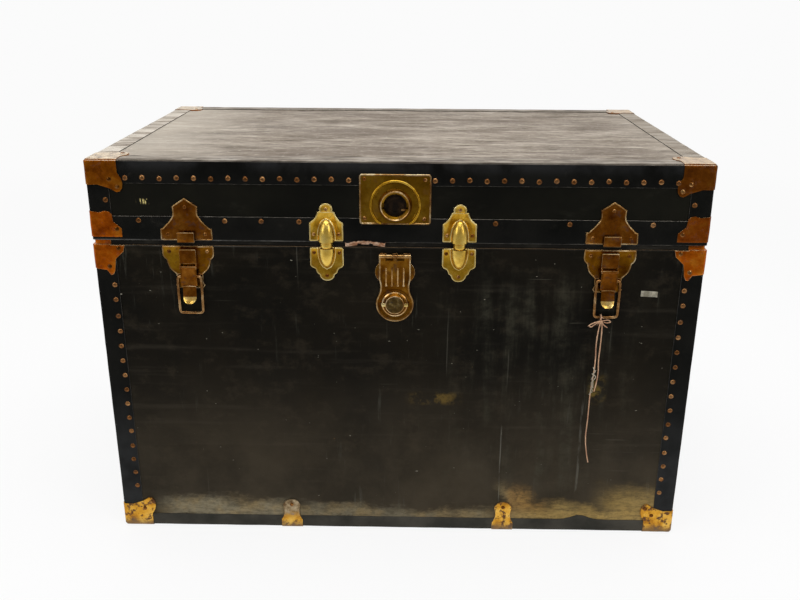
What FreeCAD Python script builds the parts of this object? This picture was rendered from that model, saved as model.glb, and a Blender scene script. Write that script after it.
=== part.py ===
import FreeCAD, Part
import math
import os

# A closed travel trunk. Millimetres, +Z up, front face towards -Y.
# Origin: the middle of the footprint, at floor height.
# "out" is the distance outwards from a covered wall of the trunk.

# Overall size, over the edge bindings
trunk_width = 914.0
trunk_depth = 559.0
trunk_height = 620.0
lid_depth = 121.0
seam_gap = 8.0

# Layers of a wall
board_thickness = 8.0
bottom_thickness = 10.0
covering_thickness = 0.8
lining_thickness = 0.6
binding_thickness = 1.2
brass_thickness = 1.0

# Fibre bindings and the band that hides the seam
binding_width = 33.0
edge_bevel = 1.6
bottom_binding_height = 23.0
top_binding_height = 35.0
valance_height = 37.0

# Tongue: the rim that the lid closes over and rests on
tongue_recess = 2.5
tongue_rise = 14.0
lid_seat_gap = 0.4

# Brass corner caps and corner clamps
cap_reach = 55.0
top_cap_rise = 49.0
bottom_cap_rise = 54.0
lid_clamp_reach = 47.0
lid_clamp_height = 39.5
lid_clamp_lift = 5.0
chest_clamp_reach = 48.5
chest_clamp_height = 47.0
tongue_clamp_reach = 28.0

# Clamps that hold the bottom edge, front and back
edge_clamp_inset = 281.5
edge_clamp_width = 35.0
edge_clamp_height = 54.5
edge_clamp_foot = 24.0

# Pressed hardware sheet, and the play of a pin in its hole
sheet = 1.2
pin_play = 0.05

# Draw bolts: one each side of the lock
draw_bolt_inset = 142.0
bolt_plate_width = 77.0
hook_plate_height = 64.0
hook_plate_lift = 1.0
hook_width = 25.5
hook_gap = 5.5
hook_drop = 2.0
hook_lip_height = 15.0
base_plate_height = 66.0
base_plate_drop = 0.5
housing_width = 25.0
housing_height = 31.0
housing_top_drop = 4.5
housing_rise = 6.0
lever_pivot_drop = 32.0
lever_pivot_out = 7.5
lever_pin_radius = 1.5
lever_pin_end = 0.5
lever_barrel_radius = 2.5
lever_ear_radius = 3.2
lever_fit = 0.3
lever_width = 24.0
lever_length = 29.0
lever_neck = 3.6
lever_tip_width = 20.0
lever_tip_length = 55.0
lever_tip_flare = 3.4
bail_pivot_drop = 15.0
bail_pivot_in = 2.2
bail_reach = 58.0
bail_width = 39.6
bail_wire = 4.6
bail_bend = 4.5

# Dowels: a pin on the lid that drops into a socket on the chest
dowel_left_x = -107.0
dowel_right_x = 90.5
dowel_plate_width = 50.0
pin_plate_height = 57.0
pin_plate_lift = 2.0
socket_plate_height = 52.0
socket_plate_drop = 0.5
dowel_shell_radius = 13.0
pin_shell_height = 33.5
socket_height = 32.0
dowel_pin_radius = 9.25
dowel_pin_reach = 12.0
socket_bore_depth = 12.0
dowel_pin_point = 3.0

# Lock plate on the lid
lock_x = -5.0
lock_plate_width = 105.0
lock_plate_height = 75.0
lock_plate_corner = 4.5
lock_plate_lift = 28.0
lock_bore_rise = 57.0
lock_bore_radius = 16.6
collar_foot_radius = 24.4
collar_crest_radius = 21.8
collar_rim_radius = 20.5
collar_height = 6.8
collar_throat = 3.8
lock_window_reach = 21.4
lock_window_height = 6.4

# Hasp that folds up from the chest into the lock plate
hasp_axis_drop = 11.5
hasp_axis_out = 6.5
hasp_pin_radius = 1.4
hasp_barrel_radius = 3.0
hasp_fit = 0.3
hasp_width = 47.4
hasp_out = 3.0
hasp_end_radius = 28.5
hasp_knuckle_inner = 3.5
hasp_knuckle_outer = 13.0
hasp_slot_height = 7.0
hasp_rib_pitch = 8.8
hasp_rib_length = 26.0
hasp_rib_drop = 20.5
hasp_rib_radius = 1.1
hasp_base_height = 46.0
hasp_ear_width = 60.0

# Lock case on the hasp, its key cylinder and its two bolts
case_radius = 14.5
case_height = 5.4
case_flange_radius = 19.5
case_flange = 1.2
key_radius = 4.5
key_boss = 2.1
keyway_width = 1.6
keyway_length = 6.0
keyway_depth = 1.5
lock_bolt_reach = 20.4
lock_bolt_tail = 6.0
lock_bolt_height = 5.2
lock_bolt_thickness = 2.8
lock_bolt_play = 0.2
lock_bolt_bevel = 1.2

# Stop hinges across the back
hinge_inset = 177.0
hinge_width = 76.0
hinge_axis_drop = 4.0
hinge_axis_out = 3.8
hinge_barrel_radius = 3.8
hinge_pin_radius = 2.0
hinge_leaf_thickness = 1.5
hinge_chest_leaf = 52.0
hinge_lid_leaf = 30.0
hinge_knuckles = 3
hinge_fit = 0.4

# Leather handles, one on each end
handle_drop = 191.0
handle_span = 236.0
handle_rise = 33.0
handle_width = 26.0
handle_leather = 5.0
handle_foot = 38.0
handle_lift = 0.3
handle_cap_length = 36.0
handle_cap_width = 58.0
handle_cap_play = 0.4

# String tied to the right bail
string_diameter = 1.8
knot_radius = 3.0
string_seat = 0.3
loop_sides = 8
string_sides = 6

# Route points of the two hanging strands: rightwards from the middle of the right
# bail, out, and down from the middle of its crossbar
long_strand = [
    (-8.4, 10.6, 8.5),
    (-12.4, 11.4, 35.0),
    (-9.6, 10.2, 77.0),
    (-14.0, 8.8, 124.0),
    (-13.4, 7.6, 174.0),
    (-15.4, 6.6, 216.0),
    (-7.0, 6.0, 251.0),
]
short_strand = [
    (-5.0, 10.6, 8.5),
    (-4.4, 11.6, 36.0),
    (-6.0, 10.4, 68.0),
    (-3.4, 9.6, 98.0),
    (-8.0, 8.8, 123.0),
]

# Outlines, as shares of their piece's reach and height.
# A third item marks the middle point of an arc.
THROUGH = True
cap_side_shares = [
    (0.0, 0.0), (0.88, 0.0), (0.88, 0.42), (0.97, 0.58), (1.0, 0.72), (0.98, 0.88), (0.91, 0.98),
    (0.82, 1.0), (0.65, 0.89), (0.33, 0.77), (0.0, 0.78),
]
cap_end_shares = [
    (0.0, 0.0), (0.88, 0.0), (0.88, 0.42), (0.97, 0.55), (1.0, 0.7), (0.98, 0.87), (0.87, 0.98),
    (0.7, 1.0), (0.55, 0.97), (0.42, 0.88), (0.0, 0.88),
]
lid_clamp_shares = [
    (0.0, 0.0), (1.0, 0.0), (1.0, 0.33), (0.755, 0.59), (0.73, 0.87), (0.66, 0.97), (0.53, 1.0),
    (0.33, 0.94), (0.0, 0.99),
]
chest_clamp_shares = [
    (0.0, 1.0), (1.0, 1.0), (0.95, 0.79), (0.69, 0.54), (0.63, 0.14), (0.57, 0.02), (0.49, 0.0),
    (0.38, 0.17), (0.0, 0.22),
]
edge_clamp_shares = [
    (0.0, 1.0, THROUGH), (0.6, 0.93), (0.84, 0.82), (0.71, 0.62), (0.72, 0.48), (0.93, 0.31),
    (1.0, 0.3), (1.0, 0.0),
]
hook_plate_shares = [
    (0.0, 1.0), (0.49, 0.8), (0.47, 0.61), (0.62, 0.46), (0.84, 0.31), (1.0, 0.27),
    (1.0, 0.03), (0.97, 0.0),
]
base_plate_shares = [
    (1.0, 1.0), (1.0, 0.8), (0.84, 0.68), (0.8, 0.54), (0.7, 0.44), (0.52, 0.33),
    (0.5, 0.15), (0.58, 0.06), (0.5, 0.0),
]
pin_plate_shares = [
    (0.0, 1.0, THROUGH), (0.4, 0.86), (0.41, 0.79), (0.54, 0.77), (0.64, 0.66), (1.0, 0.49),
    (1.0, 0.0),
]
socket_plate_shares = [
    (0.9, 1.0), (1.0, 0.96), (1.0, 0.47), (0.8, 0.38), (0.64, 0.27), (0.58, 0.18),
    (0.4, 0.16), (0.0, 0.0, THROUGH),
]
lever_tip_shares = [(1.0, 0.75), (0.9, 0.38), (0.68, 0.14), (0.36, 0.0)]
bend_shares = [(0.0, 0.8), (0.8, 0.0)]
hasp_rib_shares = [(-1.0, 0.0), (-0.5, 0.9), (0.5, 0.9), (1.0, 0.0)]
ogive_shares = [(1.0, 0.0), (0.96, 0.26), (0.72, 0.64), (0.0, 1.0)]
hasp_base_shares = [
    (0.76, 1.0), (0.76, 0.68), (1.0, 0.36, THROUGH), (0.76, 0.04), (0.7, 0.0),
]

# The hasp's outline: its waist's width and place, and the turn into its round end
hasp_waist_share = 0.9
hasp_waist_rise_share = 0.92
hasp_waist_length_share = 0.4
hasp_turn_share = 0.94
hasp_turn_rise_share = 0.34

# The bow of a handle strap a quarter of the way along, and the reach of a string's bend
strap_quarter_share = 0.5
strap_bow_share = 0.8
string_bend_share = 0.45

# Places worked out from the sizes above
panel_x = trunk_width / 2 - binding_thickness
panel_y = trunk_depth / 2 - binding_thickness
board_x = panel_x - covering_thickness
board_y = panel_y - covering_thickness
inner_x = board_x - board_thickness
inner_y = board_y - board_thickness
tongue_x = panel_x - tongue_recess
tongue_y = panel_y - tongue_recess
floor_z = brass_thickness + binding_thickness
inner_floor_z = floor_z + bottom_thickness
lid_edge_z = trunk_height - lid_depth
shoulder_z = lid_edge_z - seam_gap
tongue_top_z = shoulder_z + tongue_rise
lid_wall_z = tongue_top_z + lid_seat_gap
valance_top_z = lid_edge_z + valance_height
top_binding_z = trunk_height - top_binding_height
top_z = trunk_height - binding_thickness
lid_board_top_z = top_z - covering_thickness
lid_board_z = lid_board_top_z - board_thickness
cap_top_z = trunk_height + brass_thickness
cap_x = trunk_width / 2 + brass_thickness
cap_y = trunk_depth / 2 + brass_thickness
draw_bolt_x = trunk_width / 2 - draw_bolt_inset
edge_clamp_x = trunk_width / 2 - edge_clamp_inset
hinge_x = trunk_width / 2 - hinge_inset
handle_z = shoulder_z - handle_drop
lock_bore_z = lid_edge_z + lock_bore_rise
hasp_axis_z = shoulder_z - hasp_axis_drop
wrap_depth = edge_bevel + brass_thickness
brass_bevel = edge_bevel + brass_thickness * (2 - math.sqrt(2))
overrun = 4 * binding_width


# Geometry helpers
def vector(x, y, z):
    return FreeCAD.Vector(x, y, z)


def block(x0, x1, y0, y1, z0, z1):
    return Part.makeBox(x1 - x0, y1 - y0, z1 - z0, vector(x0, y0, z0))


def slab(half_x, half_y, z0, z1):
    return block(-half_x, half_x, -half_y, half_y, z0, z1)


def bevelled_block(half_x, half_y, z0, z1, bevel):
    solid = slab(half_x, half_y, z0, z1)
    return solid.makeChamfer(bevel, solid.Edges)


def ring(points, place):
    """Closed wire through points (a, b); a third item marks the middle of an arc."""
    start = next(i for i, item in enumerate(points) if len(item) == 2)
    ordered = points[start:] + points[:start]
    ordered.append(ordered[0])
    edges = []
    index = 0
    while index < len(ordered) - 1:
        here = place(*ordered[index])
        after = ordered[index + 1]
        if len(after) == 3:
            end = place(*ordered[index + 2])
            edges.append(Part.Arc(here, place(*after[:2]), end).toShape())
            index += 2
        else:
            edges.append(Part.makeLine(here, place(*after)))
            index += 1
    return Part.Wire(edges)


def scaled(shares, size_a, size_b):
    return [(size_a * item[0], size_b * item[1]) + item[2:] for item in shares]


def symmetric(half_shares, half_width, height):
    """Both halves of an outline whose shares give its right half, top to bottom."""
    right = scaled(half_shares, half_width, height)
    left = [(-item[0],) + item[1:] for item in reversed(right) if item[0] > 0]
    return right + left


def front_point(x, out, z):
    return vector(x, -(panel_y + out), z)


def front_prism(points, x0, z0, out0, out1):
    wire = ring(points, lambda a, b: front_point(x0 + a, out0, z0 + b))
    return Part.Face(wire).extrude(vector(0, out0 - out1, 0))


def front_block(x0, x1, out0, out1, z0, z1):
    return block(x0, x1, -(panel_y + out1), -(panel_y + out0), z0, z1)


def front_rod(x, out, z, radius, length, along):
    """A cylinder from a point of the front, along X or outwards."""
    return Part.makeCylinder(radius, length, front_point(x, out, z), along)


def across_x(points, x0, x1):
    """A prism along X of an outline of (out, z) points."""
    wire = ring(points, lambda a, b: front_point(x0, a, b))
    return Part.Face(wire).extrude(vector(x1 - x0, 0, 0))


def joined(solids):
    result = solids[0]
    for solid in solids[1:]:
        result = result.fuse(solid)
    return result.removeSplitter()


def mirrored_x(solid):
    return solid.mirror(vector(0, 0, 0), vector(1, 0, 0))


def mirrored_y(solid):
    return solid.mirror(vector(0, 0, 0), vector(0, 1, 0))


def both_ends(solid):
    return [solid, mirrored_x(solid)]


def four_corners(solid):
    return both_ends(solid) + both_ends(mirrored_y(solid))


def solids_of(shape):
    return shape.Solids if shape.Solids else [shape]


def save(name, solids):
    parts = [part for solid in solids for part in solids_of(solid)]
    shape = parts[0] if len(parts) == 1 else Part.makeCompound(parts)
    shape.exportStep(f"parts/{name}.step")
    print(name, len(parts), "solids, volume", round(shape.Volume), "valid", shape.isValid())


# Levels of the trunk's outside, one inside the other
panel_block = slab(panel_x, panel_y, floor_z, top_z)
binding_skin = bevelled_block(
    trunk_width / 2, trunk_depth / 2, brass_thickness, trunk_height, edge_bevel
).cut(panel_block)
brass_skin = bevelled_block(cap_x, cap_y, 0, cap_top_z, brass_bevel).cut(panel_block)
band_x = trunk_width / 2 - binding_width
band_y = trunk_depth / 2 - binding_width


def level(z0, z1):
    return slab(cap_x + overrun, cap_y + overrun, z0, z1)


def corner_zone(x_reach, y_reach, z0, z1):
    """The front right corner of the trunk, measured in from the given lines."""
    return block(x_reach, cap_x + overrun, -(cap_y + overrun), -y_reach, z0, z1)


# Carcass
def carcass_walls(z0, z1):
    front = block(-board_x, board_x, -board_y, -inner_y, z0, z1)
    right = block(inner_x, board_x, -inner_y, inner_y, z0, z1)
    return front, mirrored_y(front), mirrored_x(right), right


def sleeve(outer_x, outer_y, thickness, z0, z1):
    outer = slab(outer_x, outer_y, z0, z1)
    return outer.cut(slab(outer_x - thickness, outer_y - thickness, z0, z1))


def make_chest_box():
    front, back, left, right = carcass_walls(floor_z, shoulder_z)
    save("chest_front_board", [front])
    save("chest_back_board", [back])
    save("chest_left_board", [left])
    save("chest_right_board", [right])
    save("chest_bottom_board", [slab(inner_x, inner_y, floor_z, inner_floor_z)])
    save("chest_covering", [sleeve(panel_x, panel_y, covering_thickness, floor_z, shoulder_z)])
    lining = slab(inner_x, inner_y, inner_floor_z, shoulder_z)
    hollow = slab(
        inner_x - lining_thickness,
        inner_y - lining_thickness,
        inner_floor_z + lining_thickness,
        shoulder_z,
    )
    save("chest_lining", [lining.cut(hollow)])
    long_strip = block(-tongue_x, tongue_x, -tongue_y, -inner_y, shoulder_z, tongue_top_z)
    short_strip = block(inner_x, tongue_x, -inner_y, inner_y, shoulder_z, tongue_top_z)
    save("chest_tongue", [long_strip, mirrored_y(long_strip)] + both_ends(short_strip))


def make_lid_box():
    front, back, left, right = carcass_walls(lid_wall_z, lid_board_z)
    save("lid_front_board", [front])
    save("lid_back_board", [back])
    save("lid_left_board", [left])
    save("lid_right_board", [right])
    save("lid_top_board", [slab(board_x, board_y, lid_board_z, lid_board_top_z)])
    shell = slab(panel_x, panel_y, lid_wall_z, top_z)
    save("lid_covering", [shell.cut(slab(board_x, board_y, lid_wall_z, lid_board_top_z))])
    lining = slab(inner_x, inner_y, lid_wall_z, lid_board_z)
    hollow = slab(
        inner_x - lining_thickness,
        inner_y - lining_thickness,
        lid_wall_z,
        lid_board_z - lining_thickness,
    )
    save("lid_lining", [lining.cut(hollow)])


# Bindings and valance
def corner_binding(z0, z1):
    return binding_skin.common(corner_zone(band_x, band_y, z0, z1))


def edge_binding(z0, z1):
    """The band round the top or the bottom edge, open inside its width."""
    return binding_skin.common(level(z0, z1)).cut(slab(band_x, band_y, 0, cap_top_z))


chest_corner_binding = corner_binding(bottom_binding_height, shoulder_z)
lid_corner_binding = corner_binding(valance_top_z, top_binding_z)
bottom_binding = edge_binding(0, bottom_binding_height)
top_binding = edge_binding(top_binding_z, trunk_height)
valance_ring = binding_skin.common(level(lid_edge_z, valance_top_z))
valance_front = valance_ring.common(
    block(-trunk_width, trunk_width, -trunk_depth, -panel_y, lid_edge_z, valance_top_z)
)
valance_right = valance_ring.common(
    block(panel_x, trunk_width, -panel_y, panel_y, lid_edge_z, valance_top_z)
)


def make_bindings():
    save("chest_corner_bindings", four_corners(chest_corner_binding))
    save("chest_bottom_binding", [bottom_binding])
    save("lid_corner_bindings", four_corners(lid_corner_binding))
    save("lid_top_binding", [top_binding])
    strips = [valance_front, mirrored_y(valance_front)] + both_ends(valance_right)
    save("lid_valance", strips)


# Brass corners
def corner_face_prisms(points, z0, z_sign):
    """Prisms of an outline (in from the corner, up or down) on the front and the end face."""
    front = ring(points, lambda a, b: vector(cap_x - a, -cap_y, z0 + z_sign * b))
    end = ring(points, lambda a, b: vector(cap_x, -cap_y + a, z0 + z_sign * b))
    return [
        Part.Face(front).extrude(vector(0, wrap_depth, 0)),
        Part.Face(end).extrude(vector(-wrap_depth, 0, 0)),
    ]


def flat_prism(points, z0, rise):
    wire = ring(points, lambda a, b: vector(cap_x - a, -cap_y + b, z0))
    return Part.Face(wire).extrude(vector(0, 0, rise))


def brass_corner(masks, beneath):
    """The brass inside the masks, laid over the pieces beneath it."""
    return brass_skin.common(joined(masks)).cut(Part.makeCompound(beneath))


def corner_cap(z0, z_sign, rise, beneath):
    sides = corner_face_prisms(scaled(cap_side_shares, cap_reach, rise), z0, z_sign)
    flat = flat_prism(scaled(cap_end_shares, cap_reach, cap_reach), z0, z_sign * wrap_depth)
    return brass_corner(sides + [flat], beneath)


def lid_clamp():
    points = scaled(lid_clamp_shares, lid_clamp_reach, lid_clamp_height)
    masks = corner_face_prisms(points, lid_edge_z + lid_clamp_lift, 1)
    return brass_corner(masks, [valance_front, valance_right, lid_corner_binding])


def chest_clamp():
    """A corner clamp that folds over the shoulder and up round the tongue."""
    points = scaled(chest_clamp_shares, chest_clamp_reach, chest_clamp_height)
    masks = corner_face_prisms(points, shoulder_z - chest_clamp_height, 1)
    outside = brass_corner(masks, [chest_corner_binding])
    reach_x = cap_x - tongue_clamp_reach
    reach_y = cap_y - tongue_clamp_reach
    inside = slab(tongue_x, tongue_y, shoulder_z, tongue_top_z)
    fold_top_z = shoulder_z + brass_thickness
    fold = corner_zone(reach_x, reach_y, shoulder_z, fold_top_z)
    fold = fold.common(bevelled_block(cap_x, cap_y, 0, cap_top_z, brass_bevel))
    wrap = corner_zone(reach_x, reach_y, shoulder_z, tongue_top_z)
    wrap = wrap.common(
        slab(tongue_x + brass_thickness, tongue_y + brass_thickness, shoulder_z, tongue_top_z)
    )
    return joined([outside, fold.cut(inside), wrap.cut(inside)])


def edge_clamp():
    """A clamp over the front's bottom edge, folded under the trunk."""
    points = symmetric(edge_clamp_shares, edge_clamp_width / 2, edge_clamp_height)
    face = ring(points, lambda a, b: vector(edge_clamp_x + a, -cap_y, b))
    front = Part.Face(face).extrude(vector(0, wrap_depth, 0))
    foot = block(
        edge_clamp_x - edge_clamp_width / 2,
        edge_clamp_x + edge_clamp_width / 2,
        -cap_y,
        -cap_y + edge_clamp_foot,
        0,
        wrap_depth,
    )
    return brass_corner([front, foot], [bottom_binding])


def make_brass_corners():
    top_cap = corner_cap(cap_top_z, -1, top_cap_rise, [top_binding, lid_corner_binding])
    bottom_cap = corner_cap(0, 1, bottom_cap_rise, [bottom_binding, chest_corner_binding])
    save("lid_top_corner_caps", four_corners(top_cap))
    save("chest_bottom_corner_caps", four_corners(bottom_cap))
    save("lid_lower_corner_clamps", four_corners(lid_clamp()))
    save("chest_upper_corner_clamps", four_corners(chest_clamp()))
    save("chest_bottom_edge_clamps", four_corners(edge_clamp()))


# Plates on the lid lie on the valance and the top binding, and on the wall between them
def over_lid_bands(solid):
    return solid.cut(valance_front).cut(top_binding)


# Draw bolts
bolt_top_z = shoulder_z - base_plate_drop
lever_pivot_z = shoulder_z - lever_pivot_drop
bail_pivot_z = lever_pivot_z - bail_pivot_drop
bail_pivot_out = lever_pivot_out - bail_pivot_in
crossbar_z = bail_pivot_z - bail_reach
hook_plate_z = lid_edge_z + hook_plate_lift
hook_plate_out = binding_thickness + sheet
along_x = vector(1, 0, 0)


def hook_plate(x0):
    points = symmetric(hook_plate_shares, bolt_plate_width / 2, hook_plate_height)
    plate = over_lid_bands(front_prism(points, x0, hook_plate_z, 0, hook_plate_out))
    low_z = hook_plate_z - hook_drop
    lip_out = hook_plate_out + hook_gap
    strip = across_x(
        [
            (binding_thickness, hook_plate_z),
            (binding_thickness, low_z),
            (lip_out + sheet, low_z),
            (lip_out + sheet, low_z + hook_lip_height),
            (lip_out, low_z + hook_lip_height),
            (lip_out, low_z + sheet),
            (hook_plate_out, low_z + sheet),
            (hook_plate_out, hook_plate_z),
        ],
        x0 - hook_width / 2,
        x0 + hook_width / 2,
    )
    return joined([plate, strip])


def base_plate(x0):
    points = symmetric(base_plate_shares, bolt_plate_width / 2, base_plate_height)
    return front_prism(points, x0, bolt_top_z - base_plate_height, 0, sheet)


def housing(x0):
    """The raised channel of the base, whose two side walls carry the lever's pin."""
    top_z = bolt_top_z - housing_top_drop
    bottom_z = top_z - housing_height
    roof_z = lever_pivot_z + lever_ear_radius + 2 * sheet
    outer = housing_width / 2
    inner = outer - sheet
    side = [
        (sheet, top_z),
        (sheet, bottom_z),
        (lever_pivot_out - lever_ear_radius, bottom_z),
        (lever_pivot_out, lever_pivot_z - lever_ear_radius),
        (lever_pivot_out + lever_ear_radius, lever_pivot_z, THROUGH),
        (lever_pivot_out, lever_pivot_z + lever_ear_radius),
        (housing_rise, roof_z),
        (housing_rise, top_z),
    ]
    right = across_x(side, x0 + inner, x0 + outer)
    left = across_x(side, x0 - outer, x0 - inner)
    roof = front_block(x0 - outer, x0 + outer, housing_rise - sheet, housing_rise, roof_z, top_z)
    lip = front_block(x0 - outer, x0 + outer, sheet, housing_rise, top_z - sheet, top_z)
    bracket = joined([left, right, roof, lip])
    hole = front_rod(
        x0 - outer, lever_pivot_out, lever_pivot_z, lever_pin_radius + pin_play, 2 * outer, along_x
    )
    return bracket.cut(hole)


def lever_pin(x0):
    half = housing_width / 2 + lever_pin_end
    return front_rod(
        x0 - half, lever_pivot_out, lever_pivot_z, lever_pin_radius, 2 * half, along_x
    )


def lever(x0):
    """A barrel on the pin, a flanged plate that carries the bail, and a flared finger tip."""
    barrel_half = housing_width / 2 - sheet - lever_fit
    plate_back = lever_pivot_out - sheet / 2 + pin_play
    plate_front = plate_back + sheet
    neck_z = lever_pivot_z - lever_neck
    plate_low_z = lever_pivot_z - lever_length
    tip_low_z = lever_pivot_z - lever_tip_length
    half = lever_width / 2
    tip_half = lever_tip_width / 2
    barrel = front_rod(
        x0 - barrel_half,
        lever_pivot_out,
        lever_pivot_z,
        lever_barrel_radius,
        2 * barrel_half,
        along_x,
    )
    neck = front_block(
        x0 - barrel_half, x0 + barrel_half, plate_back, plate_front, neck_z, lever_pivot_z
    )
    plate = front_block(x0 - half, x0 + half, plate_back, plate_front, plate_low_z, neck_z)
    flange_back = bail_pivot_out - bail_wire / 2 + pin_play
    flange_high = bail_pivot_z + bail_wire
    flange_low = bail_pivot_z - bail_wire
    flanges = [
        front_block(x, x + sheet, flange_back, plate_back, flange_low, flange_high)
        for x in (x0 - half, x0 + half - sheet)
    ]
    tip_profile = [
        (plate_back, plate_low_z),
        (plate_back, plate_low_z - sheet),
        (plate_back + lever_tip_flare, tip_low_z),
        (plate_front + lever_tip_flare, tip_low_z),
        (plate_front, plate_low_z - sheet),
        (plate_front, plate_low_z),
    ]
    tip = across_x(tip_profile, x0 - tip_half, x0 + tip_half)
    tip_outline = symmetric(lever_tip_shares, tip_half, tip_half)
    tip_outline += [(-tip_half, plate_low_z - tip_low_z), (tip_half, plate_low_z - tip_low_z)]
    rounding = front_prism(tip_outline, x0, tip_low_z, 0, plate_front + lever_tip_flare)
    body = joined([barrel, neck, plate, tip.common(rounding)] + flanges)
    pin_hole = front_rod(
        x0 - half, lever_pivot_out, lever_pivot_z, lever_pin_radius + pin_play, lever_width, along_x
    )
    bail_hole = front_rod(
        x0 - half, bail_pivot_out, bail_pivot_z, bail_wire / 2 + pin_play, lever_width, along_x
    )
    return body.cut(pin_hole).cut(bail_hole)


def bail(x0):
    """A bent wire whose two ends turn in through the lever's flanges."""
    leg = (bail_width - bail_wire) / 2
    stub = lever_width / 2 - 2 * sheet
    half = [(stub, bail_pivot_z), (leg, bail_pivot_z)]
    for share_x, share_z in bend_shares:
        half.append((leg - bail_bend * share_x, crossbar_z + bail_bend * share_z))
    route = half + [(-a, b) for a, b in reversed(half)]
    points = [front_point(x0 + a, bail_pivot_out, b) for a, b in route]
    section = Part.Wire(Part.makeCircle(bail_wire / 2, points[0], along_x))
    return Part.makePolygon(points).makePipeShell([section], True, False, 1)


def make_draw_bolts():
    places = {"left": -draw_bolt_x, "right": draw_bolt_x}
    save("draw_bolt_hook_plates", [hook_plate(x) for x in places.values()])
    save("draw_bolt_base_plates", [base_plate(x) for x in places.values()])
    save("draw_bolt_housings", [housing(x) for x in places.values()])
    save("draw_bolt_lever_pins", [lever_pin(x) for x in places.values()])
    for side, x in places.items():
        save(f"{side}_draw_bolt_lever", [lever(x)])
        save(f"{side}_draw_bolt_bail", [bail(x)])


# Dowels
pin_plate_z = lid_edge_z + pin_plate_lift
socket_top_z = shoulder_z - socket_plate_drop
dowel_back = binding_thickness + sheet


def half_dome(x0, out, base_z, height):
    """Half a pointed dome standing off a plate; a negative height hangs it point down."""
    rim = [(dowel_shell_radius * a, height * b) for a, b in ogive_shares]
    wire = ring([(0, 0)] + rim, lambda a, b: front_point(x0 + a, out, base_z + b))
    start = front_point(x0, out, base_z)
    return Part.Face(wire).revolve(start, vector(0, 0, 1), -180)


def half_rod(x0, out, low_z, high_z, radius):
    """Half a round bar with its flat side on a plate."""
    rod = Part.makeCylinder(radius, high_z - low_z, front_point(x0, 0, low_z), vector(0, 0, 1))
    rod.translate(vector(0, -out, 0))
    return rod.common(front_block(x0 - radius, x0 + radius, out, out + radius, low_z, high_z))


def pin_plate(x0):
    points = symmetric(pin_plate_shares, dowel_plate_width / 2, pin_plate_height)
    plate = over_lid_bands(front_prism(points, x0, pin_plate_z, 0, dowel_back))
    return joined([plate, half_dome(x0, dowel_back, pin_plate_z, pin_shell_height)])


def dowel_pin(x0):
    """A half-round pin with a pointed end that stands down from the dome."""
    low_z = pin_plate_z - dowel_pin_reach
    tip = dowel_pin_radius - dowel_pin_point
    points = [
        (0, low_z),
        (tip, low_z),
        (dowel_pin_radius, low_z + dowel_pin_point),
        (dowel_pin_radius, pin_plate_z),
        (0, pin_plate_z),
    ]
    wire = ring(points, lambda a, b: front_point(x0 + a, dowel_back, b))
    start = front_point(x0, dowel_back, low_z)
    return Part.Face(wire).revolve(start, vector(0, 0, 1), -180)


def socket_plate(x0):
    points = symmetric(socket_plate_shares, dowel_plate_width / 2, socket_plate_height)
    plate = front_prism(points, x0, socket_top_z - socket_plate_height, 0, sheet)
    dome = half_dome(x0, sheet, socket_top_z, -socket_height)
    low_z = socket_top_z - socket_bore_depth
    bore = half_rod(x0, sheet, low_z, socket_top_z, dowel_shell_radius - sheet)
    return joined([plate, dome]).cut(bore)


def make_dowels():
    places = (dowel_left_x, dowel_right_x)
    save("dowel_pin_plates", [pin_plate(x) for x in places])
    save("dowel_pins", [dowel_pin(x) for x in places])
    save("dowel_socket_plates", [socket_plate(x) for x in places])


# Lock
outwards = vector(0, -1, 0)
lock_face_out = binding_thickness + brass_thickness


def turned(profile, z0):
    """A solid turned about the lock's axis from (radius, out) points."""
    wire = ring(profile, lambda a, b: front_point(lock_x + a, b, z0))
    return Part.Face(wire).revolve(front_point(lock_x, 0, z0), outwards, 360)


def lock_plate():
    half_w = lock_plate_width / 2
    half_h = lock_plate_height / 2
    corner = lock_plate_corner
    lean = corner * (1 - math.sqrt(0.5))
    quarter = [
        (half_w, half_h - corner),
        (half_w - lean, half_h - lean, THROUGH),
        (half_w - corner, half_h),
    ]
    top = quarter + [(-item[0],) + item[1:] for item in reversed(quarter)]
    points = top + [(-item[0], -item[1]) + item[2:] for item in top]
    middle_z = lid_edge_z + lock_plate_lift + half_h
    plate = front_prism(points, lock_x, middle_z, 0, lock_face_out)
    crest_out = lock_face_out + collar_height - brass_thickness
    collar = turned(
        [
            (lock_bore_radius, 0),
            (lock_bore_radius, lock_face_out + collar_throat - brass_thickness),
            (collar_rim_radius, crest_out),
            (collar_crest_radius, crest_out),
            (collar_foot_radius, lock_face_out),
            (collar_foot_radius, 0),
        ],
        lock_bore_z,
    )
    bore = front_rod(lock_x, 0, lock_bore_z, lock_bore_radius, collar_height, outwards)
    windows = front_block(
        lock_x - lock_window_reach,
        lock_x + lock_window_reach,
        hasp_flipped(bolt_front + lock_bolt_play),
        hasp_flipped(bolt_back - lock_bolt_play),
        lock_bore_z - lock_window_height / 2,
        lock_bore_z + lock_window_height / 2,
    )
    return over_lid_bands(joined([plate.cut(bore), collar]).cut(windows))


# The hasp turns half a turn about its pin, which carries a distance out to its flipped one
def hasp_flipped(out):
    return 2 * hasp_axis_out - out


plug_z = 2 * hasp_axis_z - lock_bore_z
hasp_face_out = hasp_out + sheet
case_top_out = hasp_face_out + case_height
bolt_back = case_top_out - lock_bolt_thickness - 2 * lock_bolt_play
bolt_front = bolt_back + lock_bolt_thickness
knuckle_top_z = hasp_axis_z - hasp_barrel_radius - hasp_fit


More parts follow.
